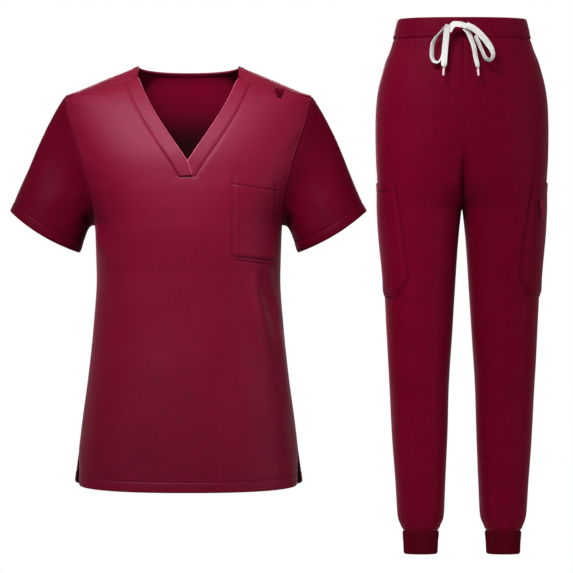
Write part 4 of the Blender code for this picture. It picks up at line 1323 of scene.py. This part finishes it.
def band_patch(side, inner_end, lift):
    """A front neckband, from the foot of the V up to the shoulder seam."""
    outer = resample(band_outer_line(), 240, front_spot)
    inner = resample(np.concatenate([[inner_end], eased(BAND_INNER)[::-1]]), 240, front_spot)
    foot = resample([inner[0], outer[0]], 60)
    top = resample([BAND_TOP[1], BINDING_END, BAND_TOP[0]], 60)
    edge = AT_SEAM[:6]
    u, v = np.meshgrid(shares(0.024, edge, edge, 0.003)[:, 0], shares(0.215, AT_SEAM, AT_SEAM, 0.0036)[:, 0])
    places = filled(foot, top, inner, outer, u, v)
    points, outs = front_spot(side * places[..., 0], places[..., 1])
    low = eased_step((-0.118 - points[..., 2]) / 0.035)
    raised = lift * low + 0.0005 * eased_step(u * 0.024 / 0.003) * eased_step((1 - u) * 0.024 / 0.003)
    raised = raised - 0.0007 * hump((1 - u) * 0.024, 0.0016) + 0.0004 * hump(u * 0.024 - 0.0015, 0.0012)
    raised = raised - 0.0008 * hump((1 - v) * 0.215, 0.0020)
    points = points + outs * raised[..., None]
    stitched = [points[:, k] for k in (len(edge), -len(edge))]
    return (points, outs, np.stack([u * 0.024, v * 0.215], -1)), stitched


class SCRUBS_OT_neck(bpy.types.Operator):
    """Builds the neckbands, one lapped over the other, and the binding of the back neck"""

    bl_idname = "scrubs.neck"
    bl_label = "Neck"

    def execute(self, context):
        sizes = context.scene.scrubs_sizes
        lapped = (("neckband_left", 1, BAND_UNDERLAP, 0.0), ("neckband_right", -1, BAND_OVERLAP, BAND_LIFT))
        for name, side, end, lift in lapped:
            patch, stitched = band_patch(side, end, lift)
            band = sewn(name, [patch], sizes.cloth, "burgundy_twill", [name])
            painted_highlight_rolls(name + "_edge", [patch[0][2:-1, 0] - patch[1][2:-1, 0] * sizes.cloth / 3])
            stitches(name + "_stitches", [band], [stitched[1]], "burgundy_thread_seam_shade")
        edge = resample(neck_line(), 60, back_spot)
        below = resample(below_neck_line(), 60, back_spot)
        u = np.linspace(-0.4, 1, 9)[:, None]
        half = below + (edge - below) * u[..., None]
        places = np.concatenate([half[:, :0:-1] * (-1.0, 1.0), half], axis=1)
        points, outs = back_spot(places[..., 0], places[..., 1])
        u = np.broadcast_to(u, points.shape[:2])
        raised = 0.0008 - 0.0005 * hump(u - 1, 0.2) - 0.0003 * hump(u + 0.4, 0.15)
        far = np.broadcast_to(np.linspace(0, 0.26, points.shape[1]), u.shape)
        patch = (points + outs * raised[..., None], outs, np.stack([far, u * BINDING], -1))
        folded = sizes.cloth + 0.0014
        binding = sewn("neckband_back", [patch], folded, "burgundy_twill", ["neckband_back"])
        return {"FINISHED"}


def pocket_grid(corners, hem, edge):
    """Places of a four-cornered pocket: rows from its bottom up, with rows set for its hem."""
    upper_in, upper_out, lower_in, lower_out = (np.array(corner) for corner in corners)
    near = with_groove(AT_SEAM[:5], edge)
    u = shares(np.linalg.norm(upper_out - upper_in), near, near, 0.0034)[:, 0]
    v = shares(np.linalg.norm(upper_in - lower_in), near, with_groove(AT_SEAM[:5], hem), 0.0034)[:, 0]
    u, v = np.meshgrid(u, v)
    low = lower_in + (lower_out - lower_in) * u[..., None]
    high = upper_in + (upper_out - upper_in) * u[..., None]
    return low + (high - low) * v[..., None], u, v


def sewn_down(u, v, width, height):
    """How much of its lift a pocket has: none at its three sewn sides."""
    return eased_step(np.minimum(u, 1 - u) * width / 0.007) * eased_step(v * height / 0.007)


def stitched_down(patch, lines, hem_line, u, v, width, height):
    """Dents a pocket along its edge stitches and its hem stitches."""
    moved = -0.0009 * hump(far_from(patch[0], *lines), 0.0013)
    moved = moved - 0.0009 * hump(far_from(patch[0], hem_line), 0.0013)
    moved = moved - 0.0004 * hump(np.minimum(np.minimum(u, 1 - u) * width, v * height), 0.0008)
    return turned_in(patch, moved)


class SCRUBS_OT_chest(bpy.types.Operator):
    """Builds the chest pocket with its pen slot, and the badge loop at the shoulder"""

    bl_idname = "scrubs.chest"
    bl_label = "Chest Pocket and Badge Loop"

    def execute(self, context):
        sizes = context.scene.scrubs_sizes
        width, height = 0.0755, 0.140
        places, u, v = pocket_grid(CHEST_POCKET, sizes.pocket_hem, sizes.edge_stitch)
        points, outs = front_spot(places[..., 0], places[..., 1])
        slack = sewn_down(u, v, width, height)
        mouth = 0.0016 * np.sin(math.pi * u) * np.clip(v - 0.7, 0.0, 1.0) / 0.3
        soft = drift(places[..., 0], places[..., 1], 0.0003, 0.05, 41)
        pen = (u * width - PEN_SLOT) / 0.0012
        slot = 0.0008 * eased_step(pen / 3 + 0.5) * slack - 0.0006 * np.exp(-(pen**2))
        lift = sizes.pocket_cloth + 0.0004 + slack * (0.0007 + soft) + mouth
        lift = lift + slot * eased_step((1 - v) * 12 + 0.2)
        patch = (points + outs * lift[..., None], outs, places)
        near = len(with_groove(AT_SEAM[:5], sizes.edge_stitch)) - 4
        lines = [patch[0][:-1, near], patch[0][:-1, -1 - near], patch[0][near]]
        hem_line = patch[0][len(patch[0]) - len(with_groove(AT_SEAM[:5], sizes.pocket_hem)) + 3]
        patch = stitched_down(patch, lines, hem_line, u, v, width, height)
        name = "chest_pocket"
        pocket = sewn(name, [patch], sizes.pocket_cloth, "burgundy_twill", [name])
        column = int(np.argmin(np.abs(u[0] * width - PEN_SLOT)))
        rows = [*lines, hem_line, patch[0][3:, column]]
        stitches("chest_pocket_stitches", [pocket], rows, "burgundy_thread_seam_shade", pitch=0.0029)
        self.badge_loop(sizes)
        return {"FINISHED"}

    def badge_loop(self, sizes):
        start, foot, end = (np.array(spot) for spot in BADGE_LOOP)
        strips = []
        for top, side, base in ((start, 1, 0.0042), (end, -1, 0.0026)):
            run = foot - top
            aside = np.array((-run[1], run[0])) / np.linalg.norm(run) * 0.0029
            t, s = np.meshgrid(np.linspace(0, 1, 15), np.linspace(-1, 1, 6))
            places = top + run * t[..., None] + aside * s[..., None]
            points, outs = front_spot(places[..., 0], places[..., 1])
            lift = base + 0.0018 * np.sin(math.pi * t) * (side > 0) - (base - 0.0026) * hump(t, 0.2)
            strips.append((points + outs * lift[..., None], outs, places))
        loop = sewn("badge_loop", strips, sizes.pocket_cloth, "burgundy_badge_loop_painted_shade", ["badge_loop"])


# ------------------------------------------------------------------ the trousers


def inner_angle(height):
    """Where a leg's ring starts: at the inseam, or at the middle seam above the crotch."""
    outer, inner = np.moveaxis(leg_at(height)[..., :2], -1, 0)
    middle, half = (outer + inner) / 2, (outer - inner) / 2
    turn = math.pi - np.arccos(np.clip(middle / half, 0.0, 1.0) ** (ROUNDNESS / 2))
    return np.where(height <= CROTCH_HEIGHT, math.pi, turn)


def spaced_angles(read, start, end, heights, near_start, near_end, cell=CELL):
    """Angles row by row, so that columns stand at set distances from both ends of the row."""
    dense = start[:, None] + (end - start)[:, None] * np.linspace(0, 1, 241)
    points, _ = ring(read, dense, heights[:, None] + 0 * dense)
    gaps = np.linalg.norm(np.diff(points, axis=1), axis=2)
    lengths = np.concatenate([np.zeros((len(heights), 1)), np.cumsum(gaps, axis=1)], axis=1)
    marks = (shares(lengths[:, -1], near_start, near_end, cell) * lengths[:, -1]).T
    angles = np.array([np.interp(*row) for row in zip(marks, lengths, dense)])
    return angles, marks


def leg_panel(face, seam):
    """The front (-1) or back (+1) of the wearer's left leg, rows from the ankle up."""
    v = shares(WAIST_SEAM - ANKLE_SEAM, AT_SEAM, AT_SEAM, 0.0045)[:, 0]
    crotch = CROTCH_HEIGHT + np.array((0.0, 0.0003, 0.0008, 0.0016, 0.0028))
    heights = np.unique(np.round(np.concatenate([ANKLE_SEAM + (WAIST_SEAM - ANKLE_SEAM) * v, crotch]), 6))
    start = face * inner_angle(heights)
    angles, marks = spaced_angles(leg_at, start, 0 * start, heights, AT_SEAM, AT_SEAM)
    rows = heights[:, None] + 0 * angles
    points, outs = leg(angles, rows)
    edges = (points[:, 0], points[:, -1], points[0], points[-1])
    patch = (points, outs, np.stack([face * (marks[:, -1:] - marks), rows], -1))
    trough = eased_step((-0.135 - rows) / 0.070) * eased_step((rows - CROTCH_HEIGHT) / 0.012)
    points[..., 1] -= face * 0.0095 * trough * hump(marks, 0.0065)
    points[heights >= CROTCH_HEIGHT, 0, 0] = 0.0
    middle = hump(marks, 0.0040) * (rows >= CROTCH_HEIGHT)
    outs[..., 0] *= 1 - middle
    outs[..., 1] += middle * face
    outs[:] = unit(outs)
    return turned_in(patch, -seam * hump(far_from(points, *edges), 0.0026))


class SCRUBS_OT_legs(bpy.types.Operator):
    """Builds the four panels of the trouser legs"""

    bl_idname = "scrubs.legs"
    bl_label = "Trouser Legs"

    def execute(self, context):
        sizes = context.scene.scrubs_sizes
        panels = (("trouser_front", -1, 0.225, 0.166), ("trouser_back", 1, 0.255, 0.186))
        for kind, face, width, area in panels:
            patch = leg_panel(face, sizes.seam)
            for side, shown in (("_left", patch), ("_right", mirrored(patch))):
                name, shown = kind + side, beside(shown, TROUSERS_X)
                made = sewn(name, [shown], sizes.cloth, "burgundy_trouser_painted_light", [name])
        return {"FINISHED"}


def tube(heights, columns):
    """A closed tube of rings: angles and heights, the last column on the first."""
    angle, height = np.meshgrid(np.linspace(0, 2 * math.pi, columns + 1), heights)
    return angle, height


class SCRUBS_OT_waist(bpy.types.Operator):
    """Builds the waistband with the ridge and puckers above its seam"""

    bl_idname = "scrubs.waist"
    bl_label = "Waistband"

    def execute(self, context):
        sizes = context.scene.scrubs_sizes
        bottom, top = WAISTBAND[0][0], WAISTBAND[-1][0]
        v = shares(top - bottom, AT_SEAM, (0.0, 0.0005, 0.0011, 0.0020, 0.0034), 0.0024)[:, 0]
        angle, height = tube(bottom + (top - bottom) * v, 260)
        points, outs = ring(waistband_at, angle, height)
        up = height - bottom
        around = angle * 0.1045
        pucker = gathers_round(angle, 61) * hump(up - 0.0035, 0.0045)
        fade = gathers_round(angle, 62) * eased_step(1 - up / 0.030)
        moved = 0.0006 * hump(up - 0.0042, 0.0020) - 0.0009 * hump(up, 0.0016)
        moved = moved - 0.0007 * hump(up - 0.0080, 0.0016)
        moved = moved + 0.0007 * pucker + 0.0003 * fade
        moved = moved - 0.0011 * hump(top - height, 0.0012)
        patch = (points + outs * moved[..., None], outs, np.stack([around, height], -1))
        row = patch[0][int(np.argmin(np.abs(up[:, 0] - 0.0080)))]
        offset = np.array((TROUSERS_X, 0.0, 0.0))
        name, shown = "waistband", beside(patch, TROUSERS_X)
        band = sewn(name, [shown], sizes.band_cloth, "burgundy_trouser_painted_light", [name], closed=True)
        stitches("waistband_stitches", [band], [row + offset], "burgundy_thread_seam_shade")
        return {"FINISHED"}


def gathers_round(angle, seed):
    """Uneven puckers all round a ring, meeting themselves."""
    draw = np.random.default_rng(seed)
    moved = 0.0
    for count in (39, 52, 67, 28, 81):
        moved = moved + np.sin(angle * count + draw.uniform(0, 6.3)) * draw.uniform(0.5, 1.2)
    return moved / 2.6


class SCRUBS_OT_cuffs(bpy.types.Operator):
    """Builds the ribbed cuffs"""

    bl_idname = "scrubs.cuffs"
    bl_label = "Ribbed Cuffs"

    def execute(self, context):
        sizes = context.scene.scrubs_sizes
        bottom, top = CUFF[-1][0], CUFF[0][0]
        v = shares(top - bottom, (0.0, 0.0004, 0.0009, 0.0016, 0.0026, 0.0040), AT_SEAM[:5], 0.0034)[:, 0]
        angle, height = tube(bottom + (top - bottom) * v, sizes.ribs * 4)
        points, outs = ring(cuff_at, angle, height)
        low, high = height - bottom, top - height
        moved = 0.00035 * np.cos(angle * sizes.ribs) * eased_step(low / 0.002)
        moved = moved - 0.0013 * hump(low, 0.0014) - 0.0008 * hump(high, 0.0018)
        moved = moved + 0.0004 * gathers_round(angle, 71) * eased_step(1 - high / 0.012)
        patch = (points + outs * moved[..., None], outs, np.stack([angle * 0.031, height], -1))
        for side, shown in (("_left", patch), ("_right", mirrored(patch))):
            name = "cuff" + side
            shown = beside(shown, TROUSERS_X)
            cuff = sewn(name, [shown], sizes.rib_cloth, "burgundy_rib", [name], closed=True)
        return {"FINISHED"}


def cargo_patch(sizes):
    """A cargo pocket over the side seam: its cloth, its stitched lines and its hem line."""
    height_all = CARGO_TOP - CARGO_BOTTOM
    near = with_groove(AT_SEAM[:5], sizes.edge_stitch)
    v = shares(height_all, near, with_groove(AT_SEAM[:5], sizes.pocket_hem), 0.0042)[:, 0]
    heights = CARGO_BOTTOM + height_all * v
    outer, inner = np.moveaxis(leg_at(heights)[..., :2], -1, 0)
    share = (cargo_edge_at(heights) - (outer + inner) / 2) / ((outer - inner) / 2)
    reach = np.arccos(share ** (ROUNDNESS / 2))
    angles, marks = spaced_angles(leg_at, -reach, reach, heights, near, near)
    rows = heights[:, None] + 0 * angles
    points, outs = leg(angles, rows)
    width = marks[:, -1:]
    u = marks / width
    up = (rows - CARGO_BOTTOM) / height_all
    full = CARGO_FULLNESS * np.sin(math.pi * np.minimum(up + 0.12, 1.0) ** 1.4) * np.sin(math.pi * u)
    slack = eased_step(np.minimum(marks, width - marks) / 0.008) * eased_step((rows - CARGO_BOTTOM) / 0.008)
    soft = drift(marks, rows, 0.0006, 0.07, 51)
    lift = sizes.pocket_cloth + 0.0004 + slack * (0.0008 + soft) + full
    patch = (points + outs * lift[..., None], outs, np.stack([marks, rows], -1))
    at = len(near) - 4
    lines = [patch[0][:-1, at], patch[0][:-1, -1 - at], patch[0][at]]
    hem_line = patch[0][len(heights) - len(with_groove(AT_SEAM[:5], sizes.pocket_hem)) + 3]
    v = np.broadcast_to(v[:, None], u.shape)
    return stitched_down(patch, lines, hem_line, u, v, width, height_all), lines, hem_line


class SCRUBS_OT_cargo(bpy.types.Operator):
    """Builds the cargo pockets and the utility loop"""

    bl_idname = "scrubs.cargo"
    bl_label = "Cargo Pockets and Loop"

    def execute(self, context):
        sizes = context.scene.scrubs_sizes
        patch, lines, hem_line = cargo_patch(sizes)
        offset = np.array((TROUSERS_X, 0.0, 0.0))
        flip = np.array((-1.0, 1.0, 1.0))
        for side, turn, shown in (("_left", 1, patch), ("_right", flip, mirrored(patch))):
            name = "cargo_pocket" + side
            shown = beside(shown, TROUSERS_X)
            pocket = sewn(name, [shown], sizes.pocket_cloth, "burgundy_trouser_painted_light", [name])
            rows = [line * turn + offset for line in (*lines, hem_line)]
            stitches(name + "_stitches", [pocket], rows, "burgundy_thread_seam_shade", pitch=0.0033)
        self.utility_loop(sizes)
        return {"FINISHED"}

    def utility_loop(self, sizes):
        out_x, top, bottom, width = UTILITY_LOOP
        heights = np.linspace(bottom, top, 19)
        outer, inner = np.moveaxis(leg_at(heights)[..., :2], -1, 0)
        middle, half = (outer + inner) / 2, (outer - inner) / 2
        wave = 0.0016 * np.sin(np.linspace(0, 2 * math.pi, 19))
        centre = -np.arccos(((out_x + wave - middle) / half) ** (ROUNDNESS / 2))
        spread = width / 2 / (half + 0.02)
        side = np.linspace(-1, 1, 7)
        angles = centre[:, None] + spread[:, None] * side
        rows = heights[:, None] + 0 * angles
        points, outs = leg(angles, rows)
        arch = np.sin(math.pi * np.linspace(0, 1, 19))[:, None]
        lift = 0.0024 + 2 * sizes.pocket_cloth + 0.0035 + 0.0020 * arch + 0.0002 * (1 - side**2)
        patch = (points + outs * lift[..., None], outs, np.stack([0 * rows + side * width / 2, rows], -1))
        name, shown = "utility_loop", beside(patch, TROUSERS_X)
        loop = sewn(name, [shown], sizes.pocket_cloth, "burgundy_utility_loop_painted_light", [name])
        ends = [points[k] + outs[k] * lift[k][:, None] + (TROUSERS_X, 0.0, 0.0) for k in (1, 2, -3, -2)]
        ends = [end[1:-1] for end in ends]
        stitches(name + "_bartacks", [loop], ends, "burgundy_thread_seam_shade", pitch=0.0012, length=0.0018)


# ------------------------------------------------------------------ the drawstring


def ribbon(name, rows):
    """A flat woven cord along the rows' smooth line, edge-on where less of its width is seen."""
    table = np.array(rows)
    long = np.linalg.norm(np.diff(table[:, :3], axis=0), axis=1).sum()
    line = eased(table, int(long / 0.0009))
    centre, seen = line[:, :3], line[:, 3]
    along = unit(np.gradient(centre, axis=0))
    facing = np.array((0.0, -1.0, 0.0)) - along * -along[:, 1:2]
    facing = unit(facing)
    aside = np.cross(along, facing)
    turn = np.arccos(np.clip(seen / CORD_WIDTH, 0.0, 1.0))[:, None]
    wide = aside * np.cos(turn) + facing * np.sin(turn)
    thick = np.cross(wide, along)
    width = np.minimum(CORD_WIDTH, np.maximum(seen, np.where(seen > 0.0045, 0.0105, 0.006)))
    sections = 28
    phi = np.linspace(0, 2 * math.pi, sections + 1)
    flat_x = signed_power(np.cos(phi), 0.55)
    flat_y = signed_power(np.sin(phi), 0.75)
    far = np.concatenate([[0.0], np.cumsum(np.linalg.norm(np.diff(centre, axis=0), axis=1))])
    across = flat_x * CORD_WIDTH / 2
    yarn = np.cos(2 * math.pi * (far[:, None] + np.abs(across) * 1.1) / 0.0022)
    rib = hump(np.abs(flat_x) - 0.86, 0.09) - 0.7 * hump(np.abs(flat_x) - 0.62, 0.08)
    rib = rib - 0.35 * hump(flat_x, 0.35)
    relief = (0.00008 * yarn + 0.00022 * rib) * np.abs(flat_y) ** 0.5
    half = CORD_THICKNESS / 2 * flat_y + np.sign(flat_y) * relief
    points = centre[:, None] + wide[:, None] * (flat_x * width[:, None] / 2)[..., None]
    points = points + thick[:, None] * half[..., None]
    outs = unit(points - centre[:, None])
    flat = np.stack([np.broadcast_to(across, points.shape[:2]), far[:, None] + 0 * half], -1)
    patch = beside((points, outs, flat), TROUSERS_X)
    piece = laid_grid(patch[0], patch[2])
    piece.name = piece.data.name = name + "_cord"
    bpy.ops.object.mode_set(mode="EDIT")
    bpy.ops.mesh.select_all(action="SELECT")
    bpy.ops.mesh.remove_doubles(threshold=1e-6)
    bpy.ops.mesh.select_all(action="DESELECT")
    bpy.ops.mesh.select_non_manifold(extend=False)
    bpy.ops.mesh.edge_face_add()
    bpy.ops.object.mode_set(mode="OBJECT")
    close_ends(piece)
    finished(piece, "white_braid", [name])
    return piece, (centre + (TROUSERS_X, 0.0, 0.0)), float(far[-1])


def close_ends(piece):
    """Turns the faces outward, the end caps with them."""
    activate(piece)
    bpy.ops.object.mode_set(mode="EDIT")
    bpy.ops.mesh.select_all(action="SELECT")
    bpy.ops.mesh.normals_make_consistent(inside=False)
    bpy.ops.object.mode_set(mode="OBJECT")


def aglet(name, rows):
    """A tip pressed round the cord's end, with a rolled rim at its top and a rounded foot."""
    end, before = np.array(rows[-1][:3]), np.array(rows[-2][:3])
    along = unit(unit(end - before) + np.array((0.0, 0.0, -0.5)))
    start = end + along * 0.0008 + (TROUSERS_X, 0.0, 0.0)
    side = unit(np.cross(along, (0.0, 1.0, 0.0)))
    front = np.cross(side, along)
    profile = ((0.0, 0.72), (0.0002, 0.90), (0.0008, 0.98), (0.0016, 0.92), (0.0024, 0.88), (0.0115, 0.82),
               (0.0124, 0.74), (0.0129, 0.55), (0.0130, 0.30))
    turns = np.linspace(0, 2 * math.pi, 29)
    reach = np.array([row[0] for row in profile])[:, None, None]
    radius = np.array([row[1] for row in profile])[:, None, None] * AGLET_RADIUS
    circle = np.cos(turns)[None, :, None] * side + np.sin(turns)[None, :, None] * front * 0.8
    points = start + along * reach + circle * radius
    flat = np.stack([0 * points[..., 0] + turns * 0.002, 0 * points[..., 0] + reach[..., 0]], -1)
    piece = laid_grid(points, flat)
    piece.name = piece.data.name = name + "_tip"
    bpy.ops.object.mode_set(mode="EDIT")
    bpy.ops.mesh.select_all(action="SELECT")
    bpy.ops.mesh.remove_doubles(threshold=1e-6)
    bpy.ops.mesh.select_all(action="DESELECT")
    bpy.ops.mesh.select_non_manifold(extend=False)
    bpy.ops.mesh.edge_face_add()
    bpy.ops.object.mode_set(mode="OBJECT")
    close_ends(piece)
    return finished(piece, "tip_plastic", [name])


class SCRUBS_OT_drawstring(bpy.types.Operator):
    """Builds the tied drawstring and its tips"""

    bl_idname = "scrubs.drawstring"
    bl_label = "Drawstring"

    def execute(self, context):
        ribbon("drawstring_knot", ARCH)
        sides = (("_right", LOOP_RIGHT, TAIL_RIGHT), ("_left", LOOP_LEFT, TAIL_LEFT))
        for side, loop_rows, tail_rows in sides:
            loop, line, long = ribbon("drawstring_loop" + side, loop_rows)
            line[::4].tolist() + [line[-1].tolist()]
            tip = aglet("aglet" + side, tail_rows)
            tail, line, long = ribbon("drawstring_tail" + side, tail_rows)
            line[::4].tolist() + [line[-1].tolist()]
        return {"FINISHED"}


# ------------------------------------------------------------------ the stage


def soft_light(name, place, size, watts, towards):
    deselect()
    bpy.ops.object.light_add(type="AREA", location=place)
    lamp = bpy.context.object
    lamp.name = name
    lamp.data.energy = watts
    lamp.data.size = size
    lamp.rotation_euler = (Vector(towards) - Vector(place)).to_track_quat("-Z", "Y").to_euler()
    return lamp


def chest_light(place, watts, towards):
    """A soft pool of light on the upper chest."""
    deselect()
    bpy.ops.object.light_add(type="SPOT", location=place)
    lamp = bpy.context.object
    lamp.name = "chest_light"
    lamp.data.energy = watts
    lamp.data.spot_size = math.radians(14.5)
    lamp.data.spot_blend = 1.0
    lamp.data.shadow_soft_size = 0.3
    lamp.rotation_euler = (Vector(towards) - Vector(place)).to_track_quat("-Z", "Y").to_euler()


def studio_world():
    """Soft light from all round, brighter from above and behind, on a white backdrop."""
    world = bpy.data.worlds.new("studio")
    bpy.context.scene.world = world
    world.use_nodes = True
    tree = world.node_tree
    tree.nodes.clear()
    place = tree.nodes.new("ShaderNodeTexCoord")
    split = tree.nodes.new("ShaderNodeSeparateXYZ")
    up = tree.nodes.new("ShaderNodeMapRange")
    rear = tree.nodes.new("ShaderNodeMapRange")
    most = tree.nodes.new("ShaderNodeMath")
    soft, white = tree.nodes.new("ShaderNodeBackground"), tree.nodes.new("ShaderNodeBackground")
    seen, mix, out = (tree.nodes.new(kind) for kind in (
        "ShaderNodeLightPath", "ShaderNodeMixShader", "ShaderNodeOutputWorld"))
    for node, (low, high) in ((up, (0.15, 0.50)), (rear, (0.15, 0.50))):
        node.interpolation_type = "SMOOTHSTEP"
        node.inputs["From Min"].default_value = -0.2
        node.inputs["From Max"].default_value = 1.0
        node.inputs["To Min"].default_value = low
        node.inputs["To Max"].default_value = high
    most.operation = "MAXIMUM"
    tree.links.new(place.outputs["Generated"], split.inputs[0])
    tree.links.new(split.outputs["Z"], up.inputs["Value"])
    tree.links.new(split.outputs["Y"], rear.inputs["Value"])
    tree.links.new(up.outputs[0], most.inputs[0])
    tree.links.new(rear.outputs[0], most.inputs[1])
    tree.links.new(most.outputs[0], soft.inputs["Strength"])
    tree.links.new(seen.outputs["Is Camera Ray"], mix.inputs[0])
    tree.links.new(soft.outputs[0], mix.inputs[1])
    tree.links.new(white.outputs[0], mix.inputs[2])
    tree.links.new(mix.outputs[0], out.inputs[0])
    white.inputs["Color"].default_value = (1.0, 1.0, 1.0, 1.0)
    soft.inputs["Color"].default_value = (1.0, 1.0, 1.0, 1.0)


class SCRUBS_OT_stage(bpy.types.Operator):
    """Sets the floor, the lights and the camera"""

    bl_idname = "scrubs.stage"
    bl_label = "Stage"

    def execute(self, context):
        finish = context.scene.scrubs_finish
        low, high = (Vector(corner) for corner in CAD_BOX)
        middle = (low + high) / 2
        deselect()
        bpy.ops.mesh.primitive_circle_add(vertices=128, radius=2.6, fill_type="NGON", location=(0, 0, -1.05))
        floor = context.object
        floor.name = floor.data.name = "floor"
        bpy.ops.object.transform_apply(location=True)
        floor.data.materials.append(pale_floor("pale_floor", finish.floor, 2.6))
        studio_world()
        soft_light("key", (-2.4, -4.3, 4.6), 1.8, 400, (0.1, 0.0, -0.3))
        soft_light("right_fill", (3.4, -1.8, 0.2), 1.6, 45, (0.6, 0.0, -0.3))
        soft_light("rear", (0.15, 5.0, 1.3), 2.4, 210, (0.15, 0.0, -0.35))
        chest_light((-0.40, -2.4, 2.2), 1350, (0.0, -0.1, -0.11))
        place = (middle.x + 0.0124, -finish.distance, middle.z)
        bpy.ops.object.camera_add(location=place, rotation=(QUARTER, 0, 0))
        camera = context.object
        camera.data.sensor_width = 36
        camera.data.lens = 36 * finish.distance / finish.view_width
        camera.data.clip_end = 60
        context.scene.camera = camera
        context.scene.view_settings.view_transform = "Standard"
        return {"FINISHED"}


class SCRUBS_PT_panel(bpy.types.Panel):
    """Lists the pieces of the scrubs and their sizes"""

    bl_label = "Scrubs"
    bl_space_type = "VIEW_3D"
    bl_region_type = "UI"
    bl_category = "Scrubs"

    def draw(self, context):
        for settings in (context.scene.scrubs_sizes, context.scene.scrubs_finish):
            for name in settings.__annotations__:
                self.layout.prop(settings, name)
        for operator in OPERATORS:
            self.layout.operator(operator.bl_idname)


OPERATORS = (
    SCRUBS_OT_body,
    SCRUBS_OT_sleeves,
    SCRUBS_OT_neck,
    SCRUBS_OT_chest,
    SCRUBS_OT_legs,
    SCRUBS_OT_waist,
    SCRUBS_OT_cuffs,
    SCRUBS_OT_cargo,
    SCRUBS_OT_drawstring,
    SCRUBS_OT_stage,
)
CLASSES = (ScrubsSizes, ScrubsFinish, *OPERATORS, SCRUBS_PT_panel)


def register():
    for kind in CLASSES:
        bpy.utils.register_class(kind)
    bpy.types.Scene.scrubs_sizes = bpy.props.PointerProperty(type=ScrubsSizes)
    bpy.types.Scene.scrubs_finish = bpy.props.PointerProperty(type=ScrubsFinish)


def unregister():
    del bpy.types.Scene.scrubs_sizes
    del bpy.types.Scene.scrubs_finish
    for kind in reversed(CLASSES):
        bpy.utils.unregister_class(kind)


def main():
    register()
    for operator in OPERATORS:
        getattr(bpy.ops.scrubs, operator.bl_idname.split(".")[1])()


if __name__ == "__main__":
    main()
